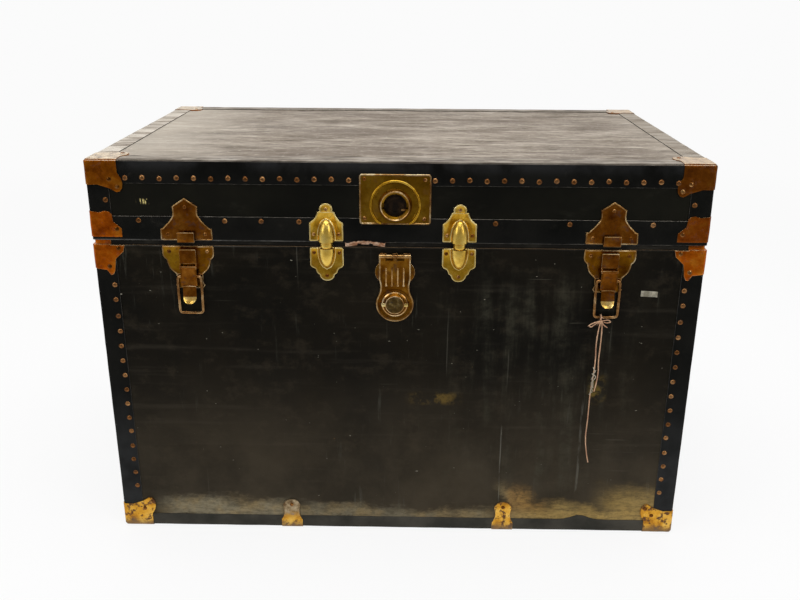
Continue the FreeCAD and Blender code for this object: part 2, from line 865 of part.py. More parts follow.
def hasp_outline(half, end_radius, top_z):
    """Straight sides, a slight waist and a round end about the lock case."""
    waist = half * hasp_waist_share
    waist_z = plug_z + end_radius * hasp_waist_rise_share
    side_z = waist_z + end_radius * hasp_waist_length_share
    turn = end_radius * hasp_turn_share
    turn_z = plug_z + end_radius * hasp_turn_rise_share
    return [
        (half, top_z),
        (half, side_z),
        (waist, waist_z),
        (turn, turn_z),
        (0, plug_z - end_radius, THROUGH),
        (-turn, turn_z),
        (-waist, waist_z),
        (-half, side_z),
        (-half, top_z),
    ]


def hasp_knuckles(inner, outer):
    """Barrels on the hasp's axis between two distances from its middle, both sides."""
    bars = []
    for start in (lock_x + inner, lock_x - outer):
        bars.append(
            front_rod(
                start, hasp_axis_out, hasp_axis_z, hasp_barrel_radius, outer - inner, along_x
            )
        )
    return bars


def hasp_leaf():
    half = hasp_width / 2
    outline = hasp_outline(half, hasp_end_radius, hasp_axis_z)
    leaf = front_prism(outline, lock_x, 0, hasp_out, hasp_face_out)
    slot_low_z = hasp_axis_z - hasp_barrel_radius - hasp_slot_height
    cuts = []
    for side in (-1, 1):
        near = lock_x + side * (hasp_knuckle_inner - hasp_fit)
        far = lock_x + side * (hasp_knuckle_outer + hasp_fit)
        cuts.append(
            front_block(
                min(near, far),
                max(near, far),
                0,
                hasp_axis_out * 2,
                slot_low_z,
                hasp_axis_z + hasp_barrel_radius,
            )
        )
    middle = front_rod(
        lock_x - hasp_knuckle_inner + hasp_fit,
        hasp_axis_out,
        hasp_axis_z,
        hasp_barrel_radius,
        2 * (hasp_knuckle_inner - hasp_fit),
        along_x,
    )
    barrels = hasp_knuckles(hasp_knuckle_outer + hasp_fit, half) + [middle]
    rib_high_z = hasp_axis_z - hasp_rib_drop
    ribs = []
    for step in (-1.5, -0.5, 0.5, 1.5):
        rib_x = lock_x + step * hasp_rib_pitch
        profile = scaled(hasp_rib_shares, hasp_rib_radius, hasp_rib_radius)
        wire = ring(
            profile,
            lambda a, b, x=rib_x: front_point(x + a, hasp_face_out + b, rib_high_z - hasp_rib_length),
        )
        ribs.append(Part.Face(wire).extrude(vector(0, 0, hasp_rib_length)))
    body = joined([leaf] + barrels + ribs)
    for cut in cuts:
        body = body.cut(cut)
    pin_hole = front_rod(
        lock_x - half,
        hasp_axis_out,
        hasp_axis_z,
        hasp_pin_radius + pin_play,
        hasp_width,
        along_x,
    )
    key_hole = front_rod(lock_x, 0, plug_z, key_radius + pin_play, hasp_face_out, outwards)
    return body.cut(pin_hole).cut(key_hole)


def hasp_base():
    """The eared plate behind the hasp, with the two knuckles that carry its pin."""
    top_z = hasp_axis_z + hasp_barrel_radius
    points = symmetric(hasp_base_shares, hasp_ear_width / 2, hasp_base_height)
    plate = front_prism(points, lock_x, top_z - hasp_base_height, 0, sheet)
    webs = []
    for side in (-1, 1):
        near = lock_x + side * hasp_knuckle_inner
        far = lock_x + side * hasp_knuckle_outer
        webs.append(
            front_block(
                min(near, far),
                max(near, far),
                0,
                hasp_axis_out,
                hasp_axis_z,
                hasp_axis_z + hasp_barrel_radius,
            )
        )
    base = joined([plate] + webs + hasp_knuckles(hasp_knuckle_inner, hasp_knuckle_outer))
    pin_hole = front_rod(
        lock_x - hasp_width / 2,
        hasp_axis_out,
        hasp_axis_z,
        hasp_pin_radius + pin_play,
        hasp_width,
        along_x,
    )
    return base.cut(pin_hole)


def lock_case():
    """The round case on the hasp, with a slideway for the two bolts."""
    case = turned(
        [
            (0, hasp_face_out),
            (case_flange_radius, hasp_face_out),
            (case_flange_radius, hasp_face_out + case_flange),
            (case_radius, hasp_face_out + case_flange),
            (case_radius, case_top_out),
            (0, case_top_out),
        ],
        plug_z,
    )
    slideway = front_block(
        lock_x - case_radius,
        lock_x + case_radius,
        bolt_back - lock_bolt_play,
        bolt_front + lock_bolt_play,
        plug_z - lock_bolt_height / 2 - lock_bolt_play,
        plug_z + lock_bolt_height / 2 + lock_bolt_play,
    )
    key_hole = front_rod(
        lock_x, 0, plug_z, key_radius + pin_play, bolt_back - lock_bolt_play, outwards
    )
    return case.cut(slideway).cut(key_hole)


def key_cylinder():
    back = hasp_out - key_boss
    front = bolt_back - 2 * lock_bolt_play
    body = front_rod(lock_x, back, plug_z, key_radius, front - back, outwards)
    keyway = front_block(
        lock_x - keyway_width / 2,
        lock_x + keyway_width / 2,
        0,
        back + keyway_depth,
        plug_z - keyway_length / 2,
        plug_z + keyway_length / 2,
    )
    return body.cut(keyway)


def lock_bolt(side):
    """A flat bolt whose bevelled end stands out of the case."""
    low = plug_z - lock_bolt_height / 2
    high = plug_z + lock_bolt_height / 2
    points = [
        (lock_bolt_tail, bolt_back),
        (lock_bolt_reach, bolt_back),
        (lock_bolt_reach, bolt_front - lock_bolt_bevel),
        (lock_bolt_reach - lock_bolt_bevel, bolt_front),
        (lock_bolt_tail, bolt_front),
    ]
    wire = ring(points, lambda a, b: front_point(lock_x + side * a, b, low))
    return Part.Face(wire).extrude(vector(0, 0, high - low))


def make_lock():
    half = hasp_width / 2
    pin = front_rod(
        lock_x - half, hasp_axis_out, hasp_axis_z, hasp_pin_radius, hasp_width, along_x
    )
    save("lock_plate", [lock_plate()])
    save("hasp_base_plate", [hasp_base()])
    save("hasp_pin", [pin])
    save("hasp_leaf_and_case", [hasp_leaf(), lock_case()])
    save("key_cylinder", [key_cylinder()])
    save("left_lock_bolt", [lock_bolt(-1)])
    save("right_lock_bolt", [lock_bolt(1)])


# Stop hinges. They are drawn on the front like the other hardware, then mirrored to the back.
hinge_axis_z = lid_edge_z - hinge_axis_drop


def knuckle_span(index):
    pitch = hinge_width / hinge_knuckles
    return index * pitch - hinge_width / 2, (index + 1) * pitch - hinge_width / 2


def hinge_barrels(x0, owned):
    """Every second knuckle of a hinge, with its running gap at each side."""
    solids = []
    for index in owned:
        start, end = knuckle_span(index)
        start += hinge_fit / 2 if index > 0 else 0
        end -= hinge_fit / 2 if index < hinge_knuckles - 1 else 0
        solids.append((x0 + start, x0 + end))
    return solids


def hinge_leaf(x0, owned, out0, far_z, near_z):
    """A leaf with its knuckles: a plate, and tabs that run up to each barrel."""
    half = hinge_width / 2
    out1 = out0 + hinge_leaf_thickness
    plate = front_block(x0 - half, x0 + half, out0, out1, min(far_z, near_z), max(far_z, near_z))
    solids = [plate]
    for start, end in hinge_barrels(x0, owned):
        solids.append(
            front_rod(
                start, hinge_axis_out, hinge_axis_z, hinge_barrel_radius, end - start, along_x
            )
        )
        solids.append(
            front_block(
                start, end, out0, out1, min(hinge_axis_z, near_z), max(hinge_axis_z, near_z)
            )
        )
    hole = front_rod(
        x0 - half,
        hinge_axis_out,
        hinge_axis_z,
        hinge_pin_radius + pin_play,
        hinge_width,
        along_x,
    )
    return mirrored_y(joined(solids).cut(hole))


def hinge_pin(x0):
    half = hinge_width / 2
    return mirrored_y(
        front_rod(x0 - half, hinge_axis_out, hinge_axis_z, hinge_pin_radius, 2 * half, along_x)
    )


def make_hinges():
    places = (-hinge_x, hinge_x)
    chest_knuckles = range(0, hinge_knuckles, 2)
    lid_knuckles = range(1, hinge_knuckles, 2)
    chest_top_z = hinge_axis_z - hinge_barrel_radius - hinge_fit
    lid_low_z = hinge_axis_z + hinge_barrel_radius + hinge_fit
    save(
        "hinge_chest_leaves",
        [hinge_leaf(x, chest_knuckles, 0, chest_top_z - hinge_chest_leaf, chest_top_z) for x in places],
    )
    save(
        "hinge_lid_leaves",
        [
            hinge_leaf(x, lid_knuckles, binding_thickness, lid_low_z + hinge_lid_leaf, lid_low_z)
            for x in places
        ],
    )
    save("hinge_pins", [hinge_pin(x) for x in places])


# Handles
def end_point(y, out, z):
    return vector(panel_x + out, y, z)


def handle_strap():
    """A leather strap, bowed away from the end wall between its two feet."""
    half = handle_span / 2
    start = half - handle_foot
    low = handle_lift
    leather = handle_leather
    rise = handle_rise - leather
    quarter_y = start * strap_quarter_share
    quarter_rise = rise * strap_bow_share
    points = [
        (half, low),
        (half, low + leather),
        (start, low + leather),
        (quarter_y, low + leather + quarter_rise),
        (0, low + leather + rise, THROUGH),
        (-quarter_y, low + leather + quarter_rise),
        (-start, low + leather),
        (-half, low + leather),
        (-half, low),
        (-start + leather / 2, low),
        (-quarter_y + leather / 2, low + quarter_rise),
        (0, low + rise, THROUGH),
        (quarter_y - leather / 2, low + quarter_rise),
        (start - leather / 2, low),
    ]
    wire = ring(points, lambda a, b: end_point(a, b, handle_z - handle_width / 2))
    return Part.Face(wire).extrude(vector(0, 0, handle_width))


def handle_cap(y0):
    """A bridge of sheet metal over one foot of the strap."""
    inner_half = handle_width / 2 + handle_cap_play
    outer_half = inner_half + sheet
    foot_half = handle_cap_width / 2
    inside = handle_lift + handle_leather + handle_cap_play
    outside = inside + sheet
    points = [
        (-foot_half, 0),
        (-inner_half, 0),
        (-inner_half, inside),
        (inner_half, inside),
        (inner_half, 0),
        (foot_half, 0),
        (foot_half, sheet),
        (outer_half, sheet),
        (outer_half, outside),
        (-outer_half, outside),
        (-outer_half, sheet),
        (-foot_half, sheet),
    ]
    wire = ring(points, lambda a, b: end_point(y0, b, handle_z + a))
    return Part.Face(wire).extrude(vector(0, handle_cap_length, 0))


def make_handles():
    strap = handle_strap()
    outer_end = handle_span / 2 + handle_cap_play
    caps = []
    for y0 in (outer_end - handle_cap_length, -outer_end):
        caps += both_ends(handle_cap(y0))
    save("right_handle_strap", [strap])
    save("left_handle_strap", [mirrored_x(strap)])
    save("handle_end_caps", caps)


# String
def string_section(centre, direction, diameter):
    """A six-sided section square to the string's direction."""
    turn = FreeCAD.Rotation(vector(0, 0, 1), direction)
    corner = diameter / 2 / math.cos(math.pi / string_sides)
    points = []
    for index in range(string_sides + 1):
        angle = math.pi * (2 * index + 1) / string_sides
        spoke = vector(corner * math.cos(angle), corner * math.sin(angle), 0)
        points.append(centre + turn.multVec(spoke))
    return Part.makePolygon(points)


def string_point(across, out, drop):
    return front_point(draw_bolt_x + across, out, crossbar_z - drop)


def string_middle():
    return (long_strand[0][0] + short_strand[0][0]) / 2


def strand(route, diameter):
    """A tube of straight runs joined by arcs as large as their runs allow."""
    points = [string_point(*item) for item in route]
    edges = []
    radii = []
    start = points[0]
    for before, corner, after in zip(points, points[1:], points[2:]):
        way_in = corner - before
        way_out = after - corner
        shorter = min(way_in.Length, way_out.Length)
        turn = way_in.getAngle(way_out)
        way_in.normalize()
        way_out.normalize()
        cut = string_bend_share * shorter
        radius = cut / math.tan(turn / 2)
        arc_start = corner - way_in * cut
        arc_end = corner + way_out * cut
        inward = (way_out - way_in).normalize()
        middle = corner + inward * (radius / math.cos(turn / 2) - radius)
        edges.append(Part.makeLine(start, arc_start))
        edges.append(Part.Arc(arc_start, middle, arc_end).toShape())
        radii.append(radius)
        start = arc_end
    edges.append(Part.makeLine(start, points[-1]))
    path = Part.Wire(edges)
    direction = points[1] - points[0]
    section = string_section(points[0], direction, diameter)
    tube = path.makePipeShell([section], True, False)
    ideal = Part.Face(section).Area * path.Length
    print("strand length", round(path.Length, 1), "volume against section times length",
          round(tube.Volume / ideal, 4), "smallest radius", round(min(radii), 1))
    return tube


def string_loop():
    """The loop of string round the bail's crossbar."""
    reach = string_diameter / 2 / math.cos(math.pi / string_sides)
    corner = (bail_wire / 2 + reach + pin_play) / math.cos(math.pi / loop_sides)
    points = []
    for index in range(loop_sides + 1):
        angle = math.pi * (2 * index + 1) / loop_sides
        out = bail_pivot_out + corner * math.cos(angle)
        points.append(string_point(string_middle(), out, corner * math.sin(angle)))
    start = (points[0] + points[1]) * 0.5
    path = Part.makePolygon([start] + points[1:-1] + [points[0], start])
    section = string_section(start, points[1] - points[0], string_diameter)
    return path.makePipeShell([section], True, False, 1)


def knot():
    """The turns of string under the crossbar, from which both strands hang."""
    low = long_strand[0][2] - string_seat
    high = bail_wire / 2 + string_diameter + string_seat
    base = string_point(string_middle(), long_strand[0][1], low)
    return Part.makeCylinder(knot_radius, low - high, base, vector(0, 0, 1))


def make_string():
    save("string_loop", [string_loop()])
    save("string_knot", [knot()])
    save("string_long_strand", [strand(long_strand, string_diameter)])
    save("string_short_strand", [strand(short_strand, string_diameter)])


os.makedirs("parts", exist_ok=True)
make_chest_box()
make_lid_box()
make_bindings()
make_brass_corners()
make_draw_bolts()
make_dowels()
make_lock()
make_hinges()
make_handles()
make_string()
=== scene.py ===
import math
import random

import bmesh
import bpy
from mathutils import Matrix, Vector, noise


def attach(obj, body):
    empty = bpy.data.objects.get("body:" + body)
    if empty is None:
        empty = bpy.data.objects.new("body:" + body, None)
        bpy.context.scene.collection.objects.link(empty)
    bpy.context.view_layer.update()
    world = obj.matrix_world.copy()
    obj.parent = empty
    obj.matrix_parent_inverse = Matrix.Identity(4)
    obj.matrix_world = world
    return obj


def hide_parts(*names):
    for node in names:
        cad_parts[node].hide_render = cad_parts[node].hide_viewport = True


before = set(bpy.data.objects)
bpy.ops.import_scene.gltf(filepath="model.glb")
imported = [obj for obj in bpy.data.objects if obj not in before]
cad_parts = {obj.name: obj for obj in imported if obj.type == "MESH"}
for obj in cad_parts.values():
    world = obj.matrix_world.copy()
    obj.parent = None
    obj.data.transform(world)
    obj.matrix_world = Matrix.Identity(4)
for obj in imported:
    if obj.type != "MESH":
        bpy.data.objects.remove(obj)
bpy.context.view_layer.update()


MM = 0.001
random.seed(7)

# The trunk's own lines, as in the part's source, in millimetres
PANEL_X = 455.8
PANEL_Y = 278.3
HALF_X = 457.0
HALF_Y = 279.5
BRASS_X = 458.0
BRASS_Y = 280.5
BRASS_Z = 621.0
ROUND = 5.0
LOCK_X = -5.0
LOCK_Z = 556.0
PLUG_Z = 403.0
OUT = Vector((0, -1, 0))
RIGHT = Vector((1, 0, 0))
UP = Vector((0, 0, 1))

# The room: how white it and its floor look to the camera, how much of the floor's white is a glow,
# how dim it is in reflections, and how much it lights
WHITE = 0.964
FLOOR_WHITE = 0.99
FLOOR_GLOW = 0.86
DIM = 0.30
ROOM_LIGHT = 0.40


def ahead(x, out, z):
    """A point in front of the covered front wall, from millimetres."""
    return Vector((x * MM, -(PANEL_Y + out) * MM, z * MM))


def metres(x, y, z):
    """Any point, from millimetres."""
    return Vector((x * MM, y * MM, z * MM))


# Shader nodes
class Nodes:
    """Short calls for a node tree. A value is a number, a colour or another node's output."""

    def __init__(self, tree):
        self.tree = tree
        tree.nodes.clear()

    def put(self, socket, value):
        if isinstance(value, bpy.types.NodeSocket):
            self.tree.links.new(value, socket)
        elif hasattr(value, "__len__") and len(value) == 3 and len(socket.default_value) == 4:
            socket.default_value = (*value, 1.0)
        else:
            socket.default_value = value

    def new(self, kind, inputs=None, **settings):
        n = self.tree.nodes.new(kind)
        for key, value in settings.items():
            setattr(n, key, value)
        for key, value in (inputs or {}).items():
            self.put(n.inputs[key], value)
        return n

    def math(self, operation, a, b=0.0):
        return self.new("ShaderNodeMath", {0: a, 1: b}, operation=operation).outputs[0]

    def chain(self, operation, values):
        result = values[0]
        for value in values[1:]:
            result = self.math(operation, result, value)
        return result

    def mul(self, *values):
        return self.chain("MULTIPLY", values)

    def add(self, *values):
        return self.chain("ADD", values)

    def rest(self, value):
        """What a share leaves of the whole."""
        return self.math("SUBTRACT", 1.0, value)

    def span(self, value, low, high, to_low=0.0, to_high=1.0, kind="SMOOTHSTEP"):
        """value mapped from low..high to to_low..to_high, held beyond both ends."""
        inputs = {0: value, 1: low, 2: high, 3: to_low, 4: to_high}
        return self.new("ShaderNodeMapRange", inputs, interpolation_type=kind, clamp=True).outputs[0]

    def split(self, vector):
        return self.new("ShaderNodeSeparateXYZ", {0: vector}).outputs[:]


class Tree(Nodes):
    """A piece's material, laid out by the piece's own coordinates and normal."""

    def __init__(self, name):
        self.material = bpy.data.materials.new(name)
        self.material.use_nodes = True
        super().__init__(self.material.node_tree)
        self.shader = self.new("ShaderNodeBsdfPrincipled")
        self.new("ShaderNodeOutputMaterial", {0: self.shader.outputs[0]})
        coords = self.new("ShaderNodeTexCoord")
        self.at = coords.outputs["Object"]
        self.normal = coords.outputs["Normal"]
        self.x, self.y, self.z = self.split(self.at)

    def upward(self):
        """1 on faces that look up, 0 on upright ones."""
        return self.split(self.normal)[2]

    def placed(self, stretch, move, turn):
        if (stretch, move, turn) == ((1, 1, 1), (0, 0, 0), (0, 0, 0)):
            return self.at
        inputs = {"Vector": self.at, "Scale": stretch, "Location": move, "Rotation": turn}
        return self.new("ShaderNodeMapping", inputs).outputs[0]

    def noise(self, scale, detail, rough, stretch=(1, 1, 1), move=(0, 0, 0), turn=(0, 0, 0)):
        place = self.placed(stretch, move, turn)
        inputs = {"Vector": place, "Scale": scale, "Detail": detail, "Roughness": rough}
        return self.new("ShaderNodeTexNoise", inputs).outputs[0]

    def patches(self, reach, *noise_values, to=(0.0, 1.0), **place):
        """Noise as a mask: bare below the first value of reach, full above the second."""
        return self.span(self.noise(*noise_values, **place), *reach, *to)

    def band(self, value, a, b, c, d):
        """Rises from a to b and falls from c to d."""
        return self.mul(self.span(value, a, b), self.span(value, c, d, 1.0, 0.0))

    def around(self, value, middle, half, inner):
        """A band round middle, full over the inner share of its half width."""
        return self.band(value, middle - half, middle - half * inner, middle + half * inner, middle + half)

    def shaken(self, value, by, reach):
        """value moved to and fro by the noise in by."""
        return self.add(value, self.mul(self.math("SUBTRACT", by, 0.5), reach))

    def mix(self, amount, a, b):
        n = self.new("ShaderNodeMix", data_type="RGBA", clamp_factor=True)
        for index, value in ((0, amount), (6, a), (7, b)):
            self.put(n.inputs[index], value)
        return n.outputs[2]

    def tint(self, colour, tone, *masks):
        """colour turned to tone where all the masks meet."""
        return self.mix(self.mul(*masks), colour, tone)

    def ramp(self, value, *stops):
        n = self.new("ShaderNodeValToRGB", {0: value})
        while len(n.color_ramp.elements) < len(stops):
            n.color_ramp.elements.new(0.5)
        for element, (place, colour) in zip(n.color_ramp.elements, stops):
            element.position = place
            element.color = (*colour, 1.0)
        return n.outputs[0]

    def bump(self, height, strength, distance, after=None):
        inputs = {"Height": height, "Strength": strength, "Distance": distance}
        if after is not None:
            inputs["Normal"] = after
        return self.new("ShaderNodeBump", inputs).outputs[0]

    def finish(self, colour, rough, metal, normal, specular=None):
        values = {"Base Color": colour, "Roughness": rough, "Metallic": metal, "Normal": normal}
        if specular is not None:
            values["Specular IOR Level"] = specular
        for key, value in values.items():
            self.put(self.shader.inputs[key], value)
        return self.material


# Materials: colours are linear, and the marks' places and sizes are in metres
FRONT = (-0.10, -0.18)


def scratched(m, colour, front):
    """Two pale vertical scratches, broken along their length, and fine lines in patches."""
    broken = m.patches((0.44, 0.62), 1, 4, 0.65, (90, 1, 22), (0, 0, 5))
    wander = m.shaken(m.x, m.noise(5, 2, 0.5), 0.010)
    for x, low, high, half, strong in (
        (0.1675, 0.05, 0.20, 0.0012, 0.5),
        (0.2945, 0.06, 0.245, 0.0026, 0.32),
    ):
        line = m.mul(m.around(wander, x, half, 0.4), m.band(m.z, low, low + 0.02, high - 0.02, high))
        line = m.mul(line, broken, front)
        colour = m.tint(colour, (0.16, 0.155, 0.125), line, strong)
    # fine lines in patches, upright and level
    lines = m.patches((0.70, 0.74), 1, 2, 0.5, (150, 150, 3.2), (1.3, 0, 0.4))
    lines = m.mul(lines, m.patches((0.48, 0.64), 6, 2, 0.5, move=(5, 2, 3)))
    colour = m.tint(colour, (0.10, 0.094, 0.075), lines, 0.35)
    lines = m.patches((0.72, 0.75), 1, 2, 0.5, (6, 6, 300), (0.7, 0, 2.1))
    lines = m.mul(lines, m.patches((0.48, 0.62), 5, 2, 0.5, move=(9, 4, 1)))
    colour = m.tint(colour, (0.10, 0.092, 0.070), lines, 0.4)
    return colour


def foot_scuffs(m):
    """The scuffs along the foot of the front: left, middle, right, and two that climb higher."""
    ragged = m.noise(13, 6, 0.68, (1, 1, 2))
    foot = m.shaken(m.z, ragged, 0.07)
    lean = m.shaken(m.add(m.x, m.mul(m.z, 0.45)), ragged, 0.06)
    left = m.mul(m.band(m.x, -0.42, -0.35, -0.20, -0.17), m.band(foot, 0.010, 0.022, 0.040, 0.066))
    middle = m.mul(m.band(m.x, -0.21, -0.16, 0.14, 0.18), m.band(foot, 0.010, 0.02, 0.028, 0.050), 0.75)
    right = m.mul(m.band(m.x, 0.16, 0.19, 0.43, 0.455), m.band(foot, 0.010, 0.022, 0.030, 0.060))
    climb = m.mul(m.band(lean, 0.196, 0.212, 0.228, 0.262), m.band(foot, 0.01, 0.03, 0.055, 0.105))
    climb = m.mul(climb, m.patches((0.36, 0.56), 34, 5, 0.7, to=(0.35, 1.0)))
    rise = m.mul(m.band(m.x, 0.31, 0.38, 0.42, 0.45), m.band(foot, 0.01, 0.03, 0.055, 0.10), 0.8)
    spread = m.chain("MAXIMUM", (left, middle, right, climb, rise))
    spread = m.mul(
        spread, m.patches((0.28, 0.62), 1, 6, 0.7, (28, 28, 210), (1, 1, 1), to=(0.66, 1.0)),
        m.patches((0.36, 0.58), 150, 4, 0.7, (0.6, 0.6, 1.4), to=(0.62, 1.0)), m.span(m.y, *FRONT, 0.4, 1.0),
    )
    scuff = m.mix(m.patches((0.42, 0.66), 20, 5, 0.66), (0.225, 0.195, 0.128), (0.300, 0.222, 0.110))
    scuff = m.tint(scuff, (0.42, 0.275, 0.075), m.span(m.x, 0.10, 0.25), 0.75)
    orange = m.mul(m.band(m.x, 0.17, 0.19, 0.23, 0.27), m.span(m.z, 0.02, 0.05))
    scuff = m.tint(scuff, (0.26, 0.125, 0.028), orange, 0.6)
    return spread, scuff


def make_covering():
    """Worn black coated cloth: faint clouds, rubs, scratches, chips and yellow-brown scuffs low down."""
    m = Tree("covering")
    front = m.span(m.y, *FRONT)
    mottle = m.noise(30, 6, 0.7, (1, 1, 1.4), (4, 2, 8))
    colour = m.mix(m.patches((0.35, 0.7), 5, 5, 0.6), (0.0032, 0.0027, 0.0014), (0.0078, 0.0059, 0.0029))
    colour = m.tint(colour, (0.026, 0.020, 0.012), m.span(mottle, 0.50, 0.72), 0.5)
    colour = m.tint(colour, (0.036, 0.030, 0.021), m.patches((0.54, 0.75), 1, 6, 0.62, (4, 4, 60)), 0.35)
    # the lower half is rubbed a little paler
    low_half = m.mul(m.span(m.z, 0.34, 0.03), m.patches((0.3, 0.7), 7, 5, 0.65, to=(0.45, 1.0)))
    colour = m.tint(colour, (0.066, 0.052, 0.033), low_half, 0.75)
    # vertical rubs right of the middle
    falls = m.patches((0.42, 0.74), 1, 7, 0.68, (40, 40, 4.6), (3.1, 0, 1.7))
    rub = m.mul(m.band(m.x, 0.02, 0.16, 0.28, 0.43), falls, m.band(m.z, 0.03, 0.10, 0.40, 0.48), front)
    colour = m.tint(colour, (0.057, 0.054, 0.036), rub, m.span(mottle, 0.32, 0.62), 0.50)
    streak = m.patches((0.58, 0.70), 1, 5, 0.7, (130, 130, 9), (2.2, 0, 4.1))
    streak = m.mul(streak, m.patches((0.48, 0.66), 9, 4, 0.6, move=(8, 1, 6)))
    colour = m.tint(colour, (0.075, 0.074, 0.058), streak, 0.35)
    colour = scratched(m, colour, front)
    # small chips, some down to the wood, some pale
    chips = m.patches((0.745, 0.77), 75, 3, 0.6, (1, 1, 1.5), (2, 2, 2))
    colour = m.tint(colour, (0.20, 0.10, 0.034), chips, 0.7)
    chips = m.patches((0.765, 0.79), 110, 2, 0.6, (1, 1, 2), (6, 1, 4))
    colour = m.tint(colour, (0.30, 0.28, 0.22), chips, 0.8)
    spread, scuff = foot_scuffs(m)
    colour = m.tint(colour, scuff, spread)
    # brown rubs: one below the hasp, one beside the twine
    for x, z, wide, high, tone in (
        (0.058, 0.243, 0.05, 0.014, (0.15, 0.095, 0.020)),
        (0.313, 0.262, 0.018, 0.030, (0.19, 0.125, 0.022)),
    ):
        rub = m.mul(m.around(m.x, x, wide, 0.3), m.around(m.z, z, high, 0.3))
        colour = m.tint(colour, tone, rub, m.patches((0.42, 0.62), 46, 5, 0.7), front, 0.6)
    # the cut top edge, rubbed pale, and its upper side painted dark as the shade in the gap under the lid
    uneven = m.patches((0.36, 0.60), 1, 5, 0.7, (24, 24, 1), to=(0.25, 1.0))
    lip = m.mul(m.span(m.z, 0.4888, 0.4903), uneven)
    colour = m.tint(colour, (0.12, 0.112, 0.095), lip, m.span(m.x, -0.10, -0.30, 0.12, 0.45))
    colour = m.tint(colour, (0.003, 0.0027, 0.002), m.span(m.upward(), 0.4, 0.9, 0.0, 0.85))
    weave = m.bump(m.noise(620, 2, 0.5), 0.16, 0.0003)
    normal = m.bump(m.noise(24, 5, 0.6, (1, 1, 2.2)), 0.3, 0.0012, after=weave)
    return m.finish(colour, m.patches((0.3, 0.75), 9, 5, 0.65, to=(0.42, 0.66)), 0.0, normal, specular=0.07)


def make_top():
    """The lid's covering: the sides like the chest's, the top worn to a grey-brown grain."""
    m = Tree("lid_covering")
    dark = m.mix(m.patches((0.35, 0.7), 6, 5, 0.6), (0.0032, 0.0032, 0.0020), (0.0075, 0.0070, 0.0042))
    dust = m.patches((0.56, 0.8), 1, 6, 0.65, (16, 16, 40), (1, 4, 2))
    dark = m.tint(dark, (0.026, 0.024, 0.017), dust, 0.4)
    # a few pale chips at the front's left
    spot = m.mul(m.band(m.x, -0.387, -0.383, -0.370, -0.365), m.band(m.z, 0.553, 0.556, 0.560, 0.563))
    chips = m.patches((0.50, 0.57), 1, 2, 0.5, (430, 1, 70), (6, 0, 3), (0, 0.5, 0))
    dark = m.tint(dark, (0.50, 0.41, 0.16), spot, chips, m.span(m.y, *FRONT))
    grain = m.noise(1, 7, 0.68, (9, 46, 1))
    fine = m.noise(1, 5, 0.66, (46, 300, 1), (2, 1, 0))
    worn = m.ramp(
        m.add(m.mul(grain, 0.55), m.mul(fine, 0.45)),
        (0.36, (0.052, 0.040, 0.030)), (0.44, (0.140, 0.114, 0.089)),
        (0.53, (0.255, 0.217, 0.176)), (0.66, (0.440, 0.392, 0.332)),
    )
    stains = m.patches((0.45, 0.64), 4.5, 5, 0.62, (1, 2.2, 1), (7, 3, 0))
    worn = m.tint(worn, (0.125, 0.098, 0.077), stains, 0.62)
    worn = m.tint(worn, (0.62, 0.57, 0.49), m.patches((0.56, 0.70), 160, 4, 0.7, (0.6, 1.3, 1)), 0.45)
    ends = m.add(m.span(m.x, -0.22, -0.42), m.mul(m.span(m.x, 0.34, 0.44), 0.3))
    worn = m.tint(worn, (0.52, 0.470, 0.395), ends, 0.45)
    colour = m.tint(dark, worn, m.span(m.upward(), 0.6, 0.9))
    normal = m.bump(m.add(m.mul(grain, 0.6), m.mul(fine, 0.4)), 0.5, 0.0012)
    return m.finish(colour, m.patches((0.3, 0.75), 9, 5, 0.65, to=(0.5, 0.72)), 0.0, normal, specular=0.06)


def make_worn_strip(m):
    """The fibre's upper side and its folds: across the strip at the ends, along X on the long sides."""
    ends = m.span(m.math("ABSOLUTE", m.x), 0.419, 0.4235)
    fold_x = m.noise(1, 4, 0.6, (52, 9, 1), (2, 5, 0))
    fold_y = m.noise(1, 3, 0.5, (16, 84, 1), (1, 3, 0), (0, 0, 0.35))
    folds = m.add(m.mul(fold_x, m.rest(ends)), m.mul(fold_y, ends))
    folded = m.ramp(
        folds,
        (0.38, (0.200, 0.165, 0.130)), (0.45, (0.340, 0.298, 0.245)),
        (0.54, (0.430, 0.385, 0.325)), (0.66, (0.520, 0.475, 0.410)),
    )
    # the right end is browner
    folded = m.tint(folded, (0.135, 0.108, 0.080), m.span(m.x, 0.30, 0.42), 0.6)
    flat = m.ramp(
        m.noise(1, 6, 0.68, (20, 90, 1)),
        (0.34, (0.076, 0.061, 0.048)), (0.48, (0.168, 0.142, 0.113)), (0.62, (0.295, 0.260, 0.218)),
    )
    # painted shadow: dark dashes along the strip's inner edge, where the binding's edge casts shade
    edge = m.band(m.y, -0.270, -0.2685, -0.2675, -0.266)
    shadow_dashes = m.mul(edge, m.patches((0.50, 0.58), 1, 2, 0.5, (70, 1, 1)))
    flat = m.tint(flat, (0.030, 0.024, 0.018), shadow_dashes, 0.8)
    return m.tint(folded, flat, m.rest(ends)), folds


